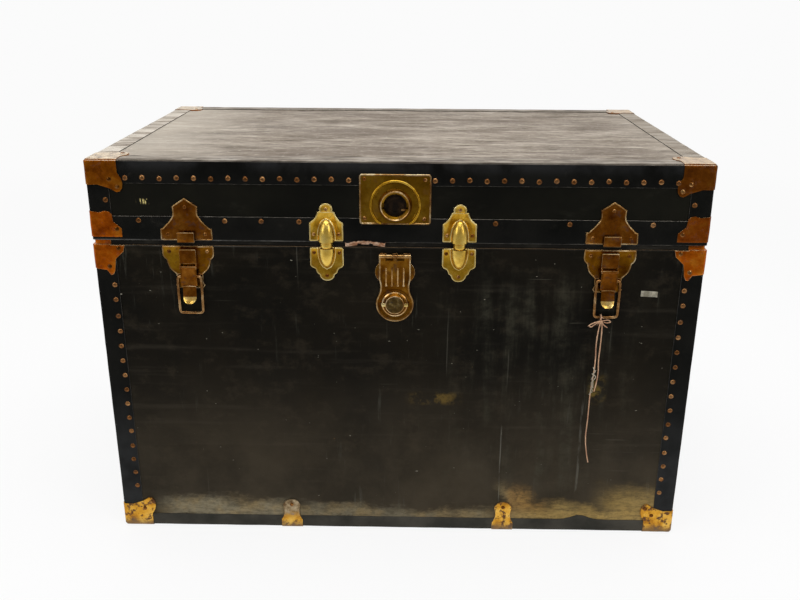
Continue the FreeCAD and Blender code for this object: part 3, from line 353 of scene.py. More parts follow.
def make_fibre(name, tint=(1.0, 1.0, 1.0), folded=True):
    """Black vulcanised fibre: dull, cloudy, and where folded rubbed pale on its upper side."""
    m = Tree(name)
    cloud = m.noise(14, 5, 0.62)
    low = tuple(c * t for c, t in zip((0.0024, 0.0025, 0.0020), tint))
    high = tuple(c * t for c, t in zip((0.0062, 0.0060, 0.0048), tint))
    colour = m.mix(m.span(cloud, 0.3, 0.72), low, high)
    colour = m.tint(colour, (0.030, 0.027, 0.021), m.patches((0.60, 0.78), 34, 6, 0.68, move=(3, 1, 2)), 0.4)
    if folded:
        # greyer towards the floor
        near_floor = m.mul(m.span(m.z, 0.30, 0.08), m.span(cloud, 0.34, 0.62, 0.4, 1.0))
        colour = m.tint(colour, (0.027, 0.028, 0.029), near_floor, 0.8)
    # the valance's lower edge, and the top binding's brow, painted lighter as a highlight where its upper
    # front edge rounds over
    edge = m.mul(m.band(m.z, 0.497, 0.4985, 0.4995, 0.5015), m.patches((0.34, 0.60), 1, 5, 0.7, (20, 20, 1)))
    colour = m.tint(colour, (0.115, 0.112, 0.105), edge, m.span(m.x, -0.05, -0.20, 0.12, 0.75))
    brow_highlight = m.mul(m.span(m.z, 0.598, 0.617), m.span(cloud, 0.36, 0.62))
    colour = m.tint(colour, (0.022, 0.0225, 0.024), brow_highlight, 0.6)
    normal = m.bump(m.noise(70, 4, 0.6), 0.25, 0.0008)
    if folded:
        worn, folds = make_worn_strip(m)
        colour = m.tint(colour, worn, m.span(m.upward(), 0.30, 0.85))
        normal = m.bump(folds, 0.55, 0.0020, after=normal)
    return m.finish(colour, m.span(cloud, 0.3, 0.7, 0.40, 0.60), 0.0, normal, specular=0.06)


def make_brass(
    name, deep, mid, light, stain, rough=(0.26, 0.5), spots=0.4, scale=1.0, dents=0.16, rust=0.54,
    grime=False, greyed=False, browner_low=False, browned=False,
):
    """Brass from a deep to a light tone, with stains where the blotches pass rust, and slightly dented."""
    m = Tree(name)
    cloud = m.noise(38 * scale, 6, 0.68, move=(1, 2, 3))
    blotch = m.noise(95 * scale, 5, 0.65, move=(4, 1, 7))
    marks = m.mul(m.span(blotch, rust, rust + 0.10), spots)
    colour = m.tint(m.ramp(cloud, (0.32, deep), (0.5, mid), (0.70, light)), stain, marks)
    metal = m.span(marks, 0.0, 1.0, 1.0, 0.45)
    if greyed:
        # the upper part has lost its brass tone
        grey = m.ramp(
            blotch, (0.36, (0.12, 0.072, 0.034)), (0.50, (0.28, 0.205, 0.115)), (0.66, (0.46, 0.36, 0.22)),
        )
        colour = m.tint(colour, grey, m.span(m.shaken(m.z, cloud, 0.02), 0.016, 0.036))
    if browner_low:
        # darker brown towards the floor
        colour = m.tint(colour, (0.17, 0.105, 0.055), m.span(m.shaken(m.z, cloud, 0.03), 0.018, 0.005), 0.85)
    if browned:
        # the lid's right hand pieces are browner
        lid_right = m.mul(m.span(m.x, -0.05, 0.05), m.span(m.z, 0.494, 0.497))
        colour = m.tint(colour, (0.085, 0.028, 0.006), lid_right, 0.5)
    if grime:
        # the upper side is covered with pale dirt
        top = m.span(m.upward(), 0.55, 0.9)
        dirt = m.ramp(
            blotch, (0.36, (0.075, 0.040, 0.016)), (0.46, (0.36, 0.265, 0.160)), (0.62, (0.60, 0.50, 0.36)),
        )
        dirt = m.tint(dirt, (0.26, 0.145, 0.050), m.span(m.x, -0.05, 0.05), 0.5)
        colour = m.tint(colour, dirt, top)
        metal = m.mul(metal, m.rest(top))
    normal = m.bump(m.noise(240, 3, 0.55), 0.10, 0.0003)
    normal = m.bump(m.noise(60, 3, 0.5, move=(2, 9, 4)), dents, 0.0014, after=normal)
    return m.finish(colour, m.span(blotch, 0.4, 0.72, *rough), metal, normal)


def make_cloudy(name, low, high, scale, rough, strength, distance, specular=None):
    """A plain material: noise between two tones, and just as uneven."""
    m = Tree(name)
    cloud = m.noise(scale, 4, 0.6)
    colour = m.mix(m.span(cloud, 0.35, 0.7), low, high)
    return m.finish(colour, m.span(cloud, 0.3, 0.7, *rough), 0.0, m.bump(cloud, strength, distance), specular)


def make_wood():
    m = Tree("plywood")
    grain = m.noise(1, 6, 0.62, (7, 90, 90))
    colour = m.ramp(
        grain, (0.32, (0.155, 0.085, 0.036)), (0.55, (0.30, 0.185, 0.092)), (0.75, (0.41, 0.28, 0.15)),
    )
    return m.finish(colour, m.span(grain, 0.3, 0.7, 0.5, 0.7), 0.0, m.bump(grain, 0.4, 0.0008))


def make_lining():
    m = Tree("lining")
    cloud = m.noise(9, 5, 0.6)
    colour = m.mix(m.span(cloud, 0.35, 0.7), (0.36, 0.285, 0.19), (0.50, 0.415, 0.295))
    colour = m.tint(colour, (0.22, 0.14, 0.075), m.patches((0.58, 0.72), 30, 4, 0.6), 0.5)
    weave = m.bump(m.noise(400, 2, 0.5), 0.25, 0.0003)
    return m.finish(colour, m.span(cloud, 0.3, 0.7, 0.7, 0.85), 0.0, weave)


def make_tongue():
    """The rim: black paint, worn off in streaks."""
    m = Tree("tongue_rim")
    cloud = m.noise(30, 5, 0.62, (0.6, 0.6, 1))
    colour = m.mix(m.span(cloud, 0.45, 0.72), (0.010, 0.009, 0.0072), (0.030, 0.027, 0.021))
    colour = m.tint(colour, (0.16, 0.12, 0.08), m.patches((0.66, 0.74), 1, 4, 0.6, (11, 11, 80)), 0.35)
    return m.finish(colour, m.span(cloud, 0.3, 0.7, 0.5, 0.7), 0.0, m.bump(cloud, 0.3, 0.0008), specular=0.05)


def make_leather():
    m = Tree("handle_leather")
    cloud = m.noise(30, 5, 0.6)
    colour = m.mix(m.span(cloud, 0.35, 0.7), (0.030, 0.013, 0.007), (0.085, 0.040, 0.020))
    pores = m.new("ShaderNodeTexVoronoi", {"Vector": m.at, "Scale": 420.0}).outputs["Distance"]
    normal = m.bump(cloud, 0.3, 0.0008, after=m.bump(pores, 0.3, 0.0005))
    return m.finish(colour, m.span(cloud, 0.3, 0.7, 0.42, 0.62), 0.0, normal)


def make_twine(name, low, high):
    """Twisted fibres, with darker lines between them."""
    m = Tree(name)
    leaning = m.placed((1, 1, 0.8), (0, 0, 0), (0, 0.6, 0))
    wave = {"Vector": leaning, "Scale": 420.0, "Distortion": 1.5, "Detail": 1.0}
    strands = m.new("ShaderNodeTexWave", wave, bands_direction="Z").outputs["Fac"]
    cloud = m.noise(80, 3, 0.6)
    colour = m.tint(m.mix(m.span(cloud, 0.3, 0.7), low, high), (0.26, 0.15, 0.11), strands, 0.3)
    return m.finish(colour, m.span(cloud, 0.3, 0.7, 0.75, 0.9), 0.0, m.bump(strands, 0.6, 0.0004))


def make_paper(name, low, high):
    return make_cloudy(name, low, high, 120, (0.7, 0.85), 0.4, 0.0004)


COVER = make_covering()
LID = make_top()
FIBRE = make_fibre("fibre")
FIBRE_LOW = make_fibre("fibre_foot", tint=(11.0, 10.4, 10.6), folded=False)
BRIGHT = make_brass(
    "brass_bright", (0.34, 0.165, 0.010), (0.54, 0.295, 0.020), (0.78, 0.51, 0.080), (0.20, 0.080, 0.006),
    rough=(0.20, 0.38), spots=0.35,
)
POLISH = make_brass(
    "brass_dome", (0.56, 0.335, 0.045), (0.82, 0.545, 0.105), (0.94, 0.73, 0.24), (0.34, 0.16, 0.014),
    rough=(0.27, 0.42), spots=0.25,
)
PLATE = make_brass(
    "brass_plate", (0.122, 0.056, 0.0034), (0.20, 0.094, 0.005), (0.31, 0.168, 0.0155), (0.085, 0.032, 0.002),
    rough=(0.26, 0.44), scale=0.8,
)
AGED = make_brass(
    "brass_aged", (0.090, 0.022, 0.002), (0.20, 0.062, 0.005), (0.34, 0.135, 0.018), (0.035, 0.009, 0.002),
    spots=0.65,
)
CORNER = make_brass(
    "brass_corner", (0.15, 0.034, 0.002), (0.32, 0.088, 0.004), (0.48, 0.19, 0.018), (0.060, 0.015, 0.002),
    rough=(0.28, 0.52), spots=0.55, dents=0.4, grime=True, browned=True,
)
CLAMP = make_brass(
    "brass_clamp", (0.26, 0.046, 0.002), (0.50, 0.108, 0.004), (0.62, 0.21, 0.016), (0.10, 0.020, 0.002),
    rough=(0.28, 0.52), spots=0.5, dents=0.4, browned=True,
)
GOLD = make_brass(
    "brass_base", (0.11, 0.034, 0.002), (0.27, 0.105, 0.005), (0.44, 0.235, 0.014), (0.050, 0.013, 0.002),
    rough=(0.26, 0.48), spots=0.6, scale=0.7,
)
TIP = make_brass(
    "lever_tip", (0.56, 0.30, 0.050), (0.86, 0.56, 0.14), (0.98, 0.80, 0.40), (0.34, 0.13, 0.02),
    rough=(0.20, 0.34), spots=0.5, scale=1.6,
)
HASP = make_brass(
    "brass_hasp", (0.075, 0.022, 0.0015), (0.165, 0.060, 0.004), (0.30, 0.145, 0.016), (0.030, 0.009, 0.0015),
    rough=(0.24, 0.44), spots=0.5,
)
FOOT = make_brass(
    "brass_foot", (0.34, 0.125, 0.012), (0.66, 0.33, 0.036), (0.88, 0.58, 0.14), (0.085, 0.026, 0.007),
    rough=(0.34, 0.60), spots=0.95, scale=1.1, dents=0.3, rust=0.50, browner_low=True,
)
FOOT_GREY = make_brass(
    "brass_foot_worn", (0.34, 0.13, 0.014), (0.64, 0.33, 0.040), (0.86, 0.56, 0.13), (0.09, 0.028, 0.008),
    rough=(0.36, 0.60), spots=0.9, scale=1.1, dents=0.3, rust=0.505, greyed=True, browner_low=True,
)
# RIM and PALE_RIM, the brass of the bevelled rims: worn brass, and a painted highlight too, lighter than the
# faces however an edge lies
RIM = make_brass(
    "worn_and_highlit_brass_edge", (0.14, 0.050, 0.012), (0.43, 0.245, 0.085), (0.92, 0.74, 0.45), (0.10, 0.034, 0.008),
    rough=(0.18, 0.36), spots=0.5, scale=1.1,
)
PALE_RIM = make_brass(
    "bright_brass_edge", (0.50, 0.33, 0.075), (0.80, 0.60, 0.22), (0.94, 0.82, 0.46), (0.34, 0.18, 0.04),
    rough=(0.16, 0.32), scale=1.1,
)
COPPER = make_brass(
    "nail_heads", (0.070, 0.026, 0.007), (0.19, 0.078, 0.024), (0.44, 0.24, 0.10), (0.030, 0.012, 0.005),
    rough=(0.22, 0.44), spots=0.6, scale=1.6,
)
SCREW = make_brass(
    "rivet_heads", (0.055, 0.018, 0.003), (0.18, 0.062, 0.010), (0.62, 0.38, 0.15), (0.020, 0.006, 0.002),
    rough=(0.22, 0.42), spots=0.6, scale=1.8,
)
WIRE = make_brass(
    "bail_wire", (0.13, 0.052, 0.012), (0.32, 0.155, 0.050), (0.62, 0.42, 0.21), (0.05, 0.020, 0.006),
    rough=(0.22, 0.42), spots=0.55, scale=1.4,
)
STEEL = make_brass(
    "lock_core", (0.040, 0.024, 0.007), (0.105, 0.064, 0.018), (0.32, 0.23, 0.09), (0.014, 0.008, 0.003),
    rough=(0.30, 0.55), spots=0.7, scale=2.6, dents=0.5,
)
WOOD = make_wood()
LINING = make_lining()
TONGUE = make_tongue()
LEATHER = make_leather()
TWINE = make_twine("twine", (0.43, 0.215, 0.115), (0.70, 0.44, 0.265))
GREY_TWINE = make_twine("twine_tangle", (0.30, 0.275, 0.20), (0.52, 0.48, 0.37))
SCRAP = make_paper("torn_paper", (0.50, 0.22, 0.10), (0.90, 0.70, 0.52))
LABEL = make_paper("blank_label", (0.34, 0.31, 0.22), (0.78, 0.73, 0.58))
# the fibre's pale and dull edges, and the shade inside a hole
EDGE = make_paper("rubbed_edge", (0.022, 0.020, 0.017), (0.21, 0.19, 0.155))
EDGE_DIM = make_paper("dull_edge", (0.006, 0.0055, 0.0045), (0.050, 0.044, 0.034))
DARK = make_cloudy(
    "dark_inside", (0.004, 0.002, 0.0008), (0.022, 0.011, 0.004), 90, (0.5, 0.7), 0.4, 0.0006, specular=0.08,
)

# Mesh helpers: a piece's first material is its field, the second its rim, the third often its rivets
FIELD = 0
EDGED = 1
RIVET = 2
SMOOTH_BELOW = math.radians(35)


def enter(name, data):
    """A new object in the scene."""
    obj = bpy.data.objects.new(name, data)
    bpy.context.scene.collection.objects.link(obj)
    return obj


def add(name, bm, material, body, replaced=(), slot=None):
    """A finished piece, riding on its body in place of the nodes it replaces."""
    mesh = bpy.data.meshes.new(name)
    bmesh.ops.recalc_face_normals(bm, faces=bm.faces)
    bm.to_mesh(mesh)
    bm.free()
    obj = enter(name, mesh)
    for m in material if isinstance(material, list) else [material]:
        mesh.materials.append(m)
    mesh.polygons.foreach_set("use_smooth", [True] * len(mesh.polygons))
    mesh.set_sharp_from_angle(angle=SMOOTH_BELOW)
    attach(obj, body)
    if replaced:
        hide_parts(*replaced)
    return obj


def paint(material, *nodes):
    """A carried-over node's own material."""
    for n in nodes:
        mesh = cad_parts[n].data
        mesh.materials.clear()
        mesh.materials.append(material)


def rounded(co):
    """A point of the outer pieces, moved so that the trunk's outer edges are rounded."""
    p = co / MM
    core = Vector((
        min(max(p.x, ROUND - BRASS_X), BRASS_X - ROUND),
        min(max(p.y, ROUND - BRASS_Y), BRASS_Y - ROUND),
        min(max(p.z, ROUND), BRASS_Z - ROUND),
    ))
    q = p - core
    reach = max(abs(c) for c in q)
    if reach < 1e-4:
        return co
    return (core + q * (reach / q.length)) * MM


def wobbled(co, amount, pitch, seed):
    """A point moved a little by noise, both lengths in millimetres."""
    return co + noise.noise_vector(co / (pitch * MM) + Vector((seed, seed, seed))) * amount * MM


def cad_copy(node):
    """A node's own form, with its flat faces whole again."""
    bm = bmesh.new()
    bm.from_mesh(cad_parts[node].data)
    bmesh.ops.remove_doubles(bm, verts=bm.verts, dist=2e-6)
    bmesh.ops.dissolve_limit(bm, angle_limit=math.radians(1.0), verts=bm.verts, edges=bm.edges)
    return bm


def bevelled(bm, width, angle=28.0, rim=None):
    """Rounds off the edges that are sharper than angle."""
    sharp = [e for e in bm.edges if len(e.link_faces) == 2 and e.calc_face_angle(0) > math.radians(angle)]
    settings = {} if rim is None else {"material": rim}
    bmesh.ops.bevel(
        bm, geom=sharp, offset=width * MM, offset_type="OFFSET", segments=2,
        profile=0.5, affect="EDGES", clamp_overlap=True, **settings,
    )


def sliced(bm, axis, places):
    """Cuts a form finer, without parting it, at places along an axis."""
    normal = Vector((axis == 0, axis == 1, axis == 2))
    for place in places:
        geom = bm.verts[:] + bm.edges[:] + bm.faces[:]
        bmesh.ops.bisect_plane(bm, geom=geom, plane_co=normal * place * MM, plane_no=normal)


def softened(node, materials, body, width, angle=28.0, places=None, shape=None, slot=None):
    """A node's own form with its edges rounded off, cut finer and then reshaped."""
    bm = cad_copy(node)
    bevelled(bm, width, angle, EDGED if isinstance(materials, list) else None)
    for axis, at in (places or {}).items():
        sliced(bm, axis, at)
    if shape is not None:
        for v in bm.verts:
            v.co = shape(v.co)
    return add(node + "_worn", bm, materials, body, [node], slot)


def outline(points, cuts=6):
    """A closed outline through (a, b) points; a third item marks a sharp corner."""
    found = []
    count = len(points)
    for i in range(count):
        one, two = points[i], points[(i + 1) % count]
        p1, p2 = Vector(one[:2]), Vector(two[:2])
        if len(one) > 2 and len(two) > 2:
            found.append(tuple(p1))
            continue
        p0 = p1 * 2 - p2 if len(one) > 2 else Vector(points[i - 1][:2])
        p3 = p2 * 2 - p1 if len(two) > 2 else Vector(points[(i + 2) % count][:2])
        square = p0 * 2 - p1 * 5 + p2 * 4 - p3
        cube = p1 * 3 - p0 - p2 * 3 + p3
        for k in range(cuts):
            t = k / cuts
            found.append(tuple((p1 * 2 + (p2 - p0) * t + square * t * t + cube * t ** 3) / 2))
    return found


def both_halves(right):
    """An outline from its right half, top to bottom."""
    return right + [(-p[0],) + tuple(p[1:]) for p in reversed(right) if p[0] > 0]


def on_circle(one, two, angle):
    return one * math.cos(angle) + two * math.sin(angle)


def arc(a0, b0, radius, start, end, steps=24):
    """Points on a circle round (a0, b0), from one angle to the other in degrees."""
    turns = [math.radians(start + (end - start) * k / steps) for k in range(steps + 1)]
    return [(a0 + radius * math.cos(t), b0 + radius * math.sin(t)) for t in turns]


def cut_hole(bm, face, a, b, radius, cuts=64):
    """Opens a round hole in a face of the front."""
    level = -face.calc_center_median().y / MM - PANEL_Y
    turns = [k * math.tau / cuts for k in range(cuts)]
    ring = [bm.verts.new(ahead(a + radius * math.cos(t), level, b + radius * math.sin(t))) for t in turns]
    edges = list(face.edges) + [bm.edges.new((ring[k], ring[(k + 1) % cuts])) for k in range(cuts)]
    bmesh.ops.delete(bm, geom=[face], context="FACES_ONLY")
    filled = bmesh.ops.triangle_fill(bm, edges=edges, use_beauty=True)
    for f in filled["geom"]:
        if isinstance(f, bmesh.types.BMFace):
            f.material_index = FIELD


def plate(bm, points, x0, z0, out0, out1, edge=0.35, rim=1.0, lip=0.35, hole=None):
    """A pressed sheet with a rolled rim; the field inside the rim lies a little lower."""
    back = [bm.verts.new(ahead(x0 + a, out0, z0 + b)) for a, b in points]
    front = [bm.verts.new(ahead(x0 + a, out1 - edge, z0 + b)) for a, b in points]
    count = len(points)
    for i in range(count):
        j = (i + 1) % count
        bm.faces.new((back[i], back[j], front[j], front[i])).material_index = EDGED
    bm.faces.new(back).material_index = FIELD
    face = bm.faces.new(front)
    face.normal_update()
    if face.normal.y > 0:
        face.normal_flip()
        face.normal_update()
    for inset, depth in ((edge, edge), (rim * 0.5, 0.12), (rim * 0.5, -0.12), (0.45, -lip)):
        made = bmesh.ops.inset_region(
            bm, faces=[face], thickness=inset * MM, depth=depth * MM, use_even_offset=True, use_boundary=True
        )
        for f in made["faces"]:
            f.material_index = EDGED
    face.material_index = FIELD
    if hole:
        cut_hole(bm, face, *hole)


def tube(bm, points, radius, sides=10, index=0):
    """A round bar along points given in metres; radius may be one value a point."""
    radii = radius if isinstance(radius, list) else [radius] * len(points)
    side = None
    rings = []
    for i, p in enumerate(points):
        before = points[max(i - 1, 0)]
        after = points[min(i + 1, len(points) - 1)]
        along = (after - before).normalized()
        if side is None:
            side = along.orthogonal().normalized()
        side = (side - along * side.dot(along)).normalized()
        other = along.cross(side)
        turns = [k * math.tau / sides for k in range(sides)]
        rings.append([bm.verts.new(p + on_circle(side, other, t) * radii[i] * MM) for t in turns])
    for a, b in zip(rings, rings[1:]):
        for k in range(sides):
            j = (k + 1) % sides
            bm.faces.new((a[k], a[j], b[j], b[k])).material_index = index
    for ring in (rings[0], rings[-1]):
        bm.faces.new(ring).material_index = index


def revolve(bm, origin, axis, side, profile, segments=48, sweep=360.0, index=0, bright=(), gap=None):
    """A turned form of (radius, height) points about an axis through origin, in millimetres.

    bright names the rows with the second material; gap is (rows, sine) left open to both sides.
    """
    other = axis.cross(side)
    steps = segments if sweep > 359.0 else segments + 1
    rings = []
    for radius, height in profile:
        if radius < 1e-6:
            rings.append([bm.verts.new(origin + axis * height * MM)] * steps)
            continue
        turns = [math.radians(sweep) * k / segments for k in range(steps)]
        places = [origin + (axis * height + on_circle(side, other, t) * radius) * MM for t in turns]
        rings.append([bm.verts.new(p) for p in places])
    for i, (a, b) in enumerate(zip(rings, rings[1:])):
        for k in range(segments):
            if gap and i in gap[0] and abs(math.sin(math.radians(sweep) * (k + 0.5) / segments)) < gap[1]:
                continue
            j = (k + 1) % steps
            corners = list(dict.fromkeys((a[k], a[j], b[j], b[k])))
            if len(corners) > 2:
                bm.faces.new(corners).material_index = EDGED if i in bright else index


def nail(bm, at, away, radius=4.0, height=1.7, index=0):
    """A domed nail head with a thin brim."""
    profile = [
        (radius, -0.3), (radius, 0.25), (radius * 0.93, height * 0.32), (radius * 0.74, height * 0.70),
        (radius * 0.42, height * 0.94), (0.0, height),
    ]
    revolve(bm, at, away, away.orthogonal().normalized(), profile, 14, index=index)


def bar(bm, x0, x1, out0, out1, z0, z1, bevel=0.4, index=0, rim=1):
    """A small block on the front with rounded edges."""
    low, high = ahead(x0, out0, z0), ahead(x1, out1, z1)
    matrix = Matrix.Translation((low + high) / 2) @ Matrix.Diagonal((*(abs(c) for c in high - low), 1.0))
    made = bmesh.ops.create_cube(bm, size=1.0, matrix=matrix)
    edges = list({e for v in made["verts"] for e in v.link_edges})
    for f in {f for v in made["verts"] for f in v.link_faces}:
        f.material_index = index
    bmesh.ops.bevel(bm, geom=edges, offset=bevel * MM, segments=2, profile=0.5, affect="EDGES", material=rim)


def filleted(points, radius, steps=6):
    """A route with its inner corners rounded."""
    found = [points[0]]
    for p, q, r in zip(points, points[1:], points[2:]):
        cut = min(radius * MM, (p - q).length * 0.48, (r - q).length * 0.48)
        start = q + (p - q).normalized() * cut
        end = q + (r - q).normalized() * cut
        for k in range(steps + 1):
            t = k / steps
            found.append(start * (1 - t) ** 2 + q * 2 * t * (1 - t) + end * t * t)
    return found + [points[-1]]


# The camera, fitted to the trunk's corners in the photograph: degrees, millimetres and pixels
YAW = math.radians(-0.908)
PITCH = math.radians(20.038)
ROLL = math.radians(0.3285)
CAMERA_AT = (22.77, -1535.96, 866.91)
FOCAL_LENGTH = 879.88
PHOTO_WIDTH = 800.0
SENSOR = 36.0


def make_camera():
    level = Vector((math.sin(YAW), math.cos(YAW), 0))
    across = Vector((math.cos(YAW), -math.sin(YAW), 0))
    forward = level * math.cos(PITCH) - UP * math.sin(PITCH)
    upward = UP * math.cos(PITCH) + level * math.sin(PITCH)
    right = across * math.cos(ROLL) + upward * math.sin(ROLL)
    top = upward * math.cos(ROLL) - across * math.sin(ROLL)
    data = bpy.data.cameras.new("camera")
    data.sensor_width = SENSOR
    data.lens = FOCAL_LENGTH / PHOTO_WIDTH * SENSOR
    data.clip_end = 50.0
    camera = enter("camera", data)
    turn = Matrix((right, top, -forward)).transposed().to_4x4()
    camera.matrix_world = Matrix.Translation(metres(*CAMERA_AT)) @ turn
    bpy.context.scene.camera = camera


class Backdrop(Nodes):
    """A white that the camera sees, and a dimmer room in front that only reflections see."""

    def __init__(self, tree, kind):
        super().__init__(tree)
        self.kind = kind
        path = self.new("ShaderNodeLightPath").outputs
        self.camera = path["Is Camera Ray"]
        self.shine = self.math("MAXIMUM", path["Is Glossy Ray"], path["Is Transmission Ray"])

    def linear(self, *values):
        return self.span(*values, kind="LINEAR")

    def glow(self, strength):
        return self.new(self.kind, {"Color": (1, 1, 1), "Strength": strength}).outputs[0]

    def show(self, seen, direct, mirrored, otherwise, output):
        """seen is the camera's share of the glow, direct its strength there, mirrored in reflections."""
        strength = self.add(self.mul(self.camera, direct), self.mul(self.rest(self.camera), mirrored))
        share = self.math("MAXIMUM", seen, self.shine)
        both = self.new("ShaderNodeMixShader", {0: share, 1: otherwise, 2: self.glow(strength)})
        self.new(output, {0: both.outputs[0]})


def make_floor():
    far = 9
    mesh = bpy.data.meshes.new("floor")
    mesh.from_pydata([(-far, -far, 0), (far, -far, 0), (far, far, 0), (-far, far, 0)], [], [(0, 1, 2, 3)])
    floor = enter("floor", mesh)
    material = bpy.data.materials.new("floor")
    material.use_nodes = True
    mesh.materials.append(material)
    m = Backdrop(material.node_tree, "ShaderNodeEmission")
    matt = {"Base Color": (0.86, 0.86, 0.86), "Roughness": 0.9, "Specular IOR Level": 0.0}
    matt = m.new("ShaderNodeBsdfPrincipled", matt).outputs[0]
    place = m.new("ShaderNodeNewGeometry").outputs["Position"]
    away = m.new("ShaderNodeVectorMath", {0: place}, operation="LENGTH").outputs["Value"]
    near, far = 0.9, 3.2
    seen = m.mul(m.camera, m.linear(away, near, far, FLOOR_GLOW, 1.0))
    direct = m.linear(away, near, far, FLOOR_WHITE, WHITE)
    mirrored = m.linear(m.split(place)[1], -1.7, -0.5, DIM, WHITE)
    m.show(seen, direct, mirrored, matt, "ShaderNodeOutputMaterial")


def make_world():
    world = bpy.data.worlds.new("studio")
    bpy.context.scene.world = world
    world.use_nodes = True
    m = Backdrop(world.node_tree, "ShaderNodeBackground")
    direction = m.new("ShaderNodeTexCoord").outputs["Generated"]
    mirrored = m.linear(m.split(direction)[1], -0.15, 0.35, DIM, WHITE)
    m.show(m.camera, WHITE, mirrored, m.glow(ROOM_LIGHT), "ShaderNodeOutputWorld")


def make_lamp(name, place, target, width, height, watts):
    data = bpy.data.lights.new(name, "AREA")
    data.shape = "RECTANGLE"
    data.size = width
    data.size_y = height
    data.energy = watts
    lamp = enter(name, data)
    lamp.location = place
    aim = Vector(target) - Vector(place)
    lamp.rotation_euler = aim.to_track_quat("-Z", "Y").to_euler()


make_camera()
make_floor()
make_world()
make_lamp("overhead", (0.0, 0.0, 2.6), (0, 0, 0.3), 3.2, 2.2, 62.0)
make_lamp("front_high", (0.0, -2.0, 2.6), (0, -0.2, 0.4), 1.6, 0.5, 10.0)
for name, x in (("left_box", -2.4), ("right_box", 2.4)):
    make_lamp(name, (x, -2.4, 1.7), (0, 0, 0.35), 1.0, 1.8, 16.0)
bpy.context.scene.view_settings.view_transform = "Standard"


# The box: boards, coverings and fibre, cut closely near the trunk's edges
NEAR = (0.9, 1.9, 2.9, 3.9, 5.0, 9.0, 16.0)
CLOSE_CUTS = 2 * len(NEAR)
LID_FOOT = 500.0
CHEST_TOP = 489.0
RISE_X = 303.0


def both_signs(places):
    return [s * c for c in places for s in (-1, 1)]


def edge_steps(half, step=11.0):
    """Cutting places on both sides of the middle: close together near the trunk's edge."""
    places = [half - c for c in NEAR]
    at = places[-1] - step
    while at > 0:
        places.append(at)
        at -= step
    return both_signs(places)


def fibre_shape(seed):
    def shape(co):
        p = co / MM
        # the bottom binding's upper edge rises at one place of the front
        if 22 < p.z < 40 and p.y < -278:
            co = co + Vector((0, 0, 9.0 * MM * math.exp(-((p.x - RISE_X) / 17.0) ** 2)))
        # the seam between the lid and the chest stays straight
        if p.z > LID_FOOT or p.z < CHEST_TOP:
            co = wobbled(co, 0.30, 26.0, seed)
        return rounded(co)
    return shape


EDGE_X = edge_steps(BRASS_X)
EDGE_Y = edge_steps(BRASS_Y)
EDGE_Z = [*(BRASS_Z - c for c in NEAR), *NEAR, *(30 + 12 * k for k in range(48))]
GRID = {0: EDGE_X, 1: EDGE_Y, 2: EDGE_Z}
CORNER_CUTS = {2: EDGE_Z, 0: EDGE_X[:CLOSE_CUTS], 1: EDGE_Y[:CLOSE_CUTS]}

for body, last in (("chest", "bottom"), ("lid", "top")):
    paint(WOOD, *(f"{body}_{side}_board" for side in ("front", "back", "left", "right", last)))
paint(TONGUE, "chest_tongue")
paint(COVER, "chest_covering")
paint(LID, "lid_covering")
paint(LINING, "chest_lining", "lid_lining")
for index, (node, body, field, edge, places) in enumerate((
    ("chest_corner_bindings", "chest", FIBRE, EDGE_DIM, CORNER_CUTS),
    ("lid_corner_bindings", "lid", FIBRE, EDGE_DIM, CORNER_CUTS),
    ("lid_valance", "lid", FIBRE, EDGE, {0: EDGE_X, 1: EDGE_Y}),
    ("chest_bottom_binding", "chest", FIBRE_LOW, EDGE_DIM, GRID),
    ("lid_top_binding", "lid", FIBRE, EDGE, GRID),
)):
    softened(node, [field, edge], body, 0.42, 50.0, places, fibre_shape(3.0 + index), "fibre_binding")

# Brass corners and clamps
CORNER_NEAR = (0.9, 1.9, 2.9, 3.9, 5.0, 8.0, 12.0, 17.0, 23.0, 30.0, 37.0, 44.0, 50.0)
CORNER_X = both_signs(BRASS_X - c for c in CORNER_NEAR)
CORNER_Y = both_signs(BRASS_Y - c for c in CORNER_NEAR)
CORNER_Z = [*(BRASS_Z - c for c in CORNER_NEAR), *CORNER_NEAR, *range(450, 483, 8), *range(508, 539, 6)]
CORNER_GRID = {0: CORNER_X, 1: CORNER_Y, 2: CORNER_Z}


def brass_shape(seed):
    """Pressed a little uneven, and never below the floor."""
    def shape(co):
        out = rounded(wobbled(co, 0.35, 17.0, seed))
        out.z = max(out.z, 0.0)
        return out
    return shape


for index, (node, body, material, slot, grid) in enumerate((
    ("lid_top_corner_caps", "lid", CORNER, "brass_corners", CORNER_GRID),
    ("lid_lower_corner_clamps", "lid", CLAMP, "brass_corners", CORNER_GRID),
    ("chest_upper_corner_clamps", "chest", CLAMP, "brass_corners", CORNER_GRID),
    ("chest_bottom_corner_caps", "chest", FOOT, "brass_bright", CORNER_GRID),
    ("chest_bottom_edge_clamps", "chest", FOOT, "brass_bright", {2: CORNER_NEAR, 1: CORNER_Y}),
)):
    made = softened(node, [material, RIM, FOOT_GREY], body, 0.42, 50.0, grid, brass_shape(11.0 + index), slot)
# the left clamps are greyer
for f in made.data.polygons:
    if f.center.x < 0:
        f.material_index = 2

# Nail heads: about an inch apart along the bindings
NAIL_STEP = 25.1
NAIL_OUT = 1.1
TOP_ROW = 593.0
VALANCE_ROW = 529.5
CORNER_ROW = 431.0
SMALL = (3.5, 1.2, 1)
BRASS_OUT = BRASS_Y - PANEL_Y


def around(bm, a, z, out, *sort):
    """The same nail near all four corners, on the long walls and on the end walls."""
    b = HALF_Y - (HALF_X - a)
    for sx in (-1, 1):
        for sy in (-1, 1):
            nail(bm, metres(sx * a, sy * (PANEL_Y + out), z), OUT * -sy, *sort)
            nail(bm, metres(sx * (PANEL_X + out), sy * b, z), RIGHT * sx, *sort)


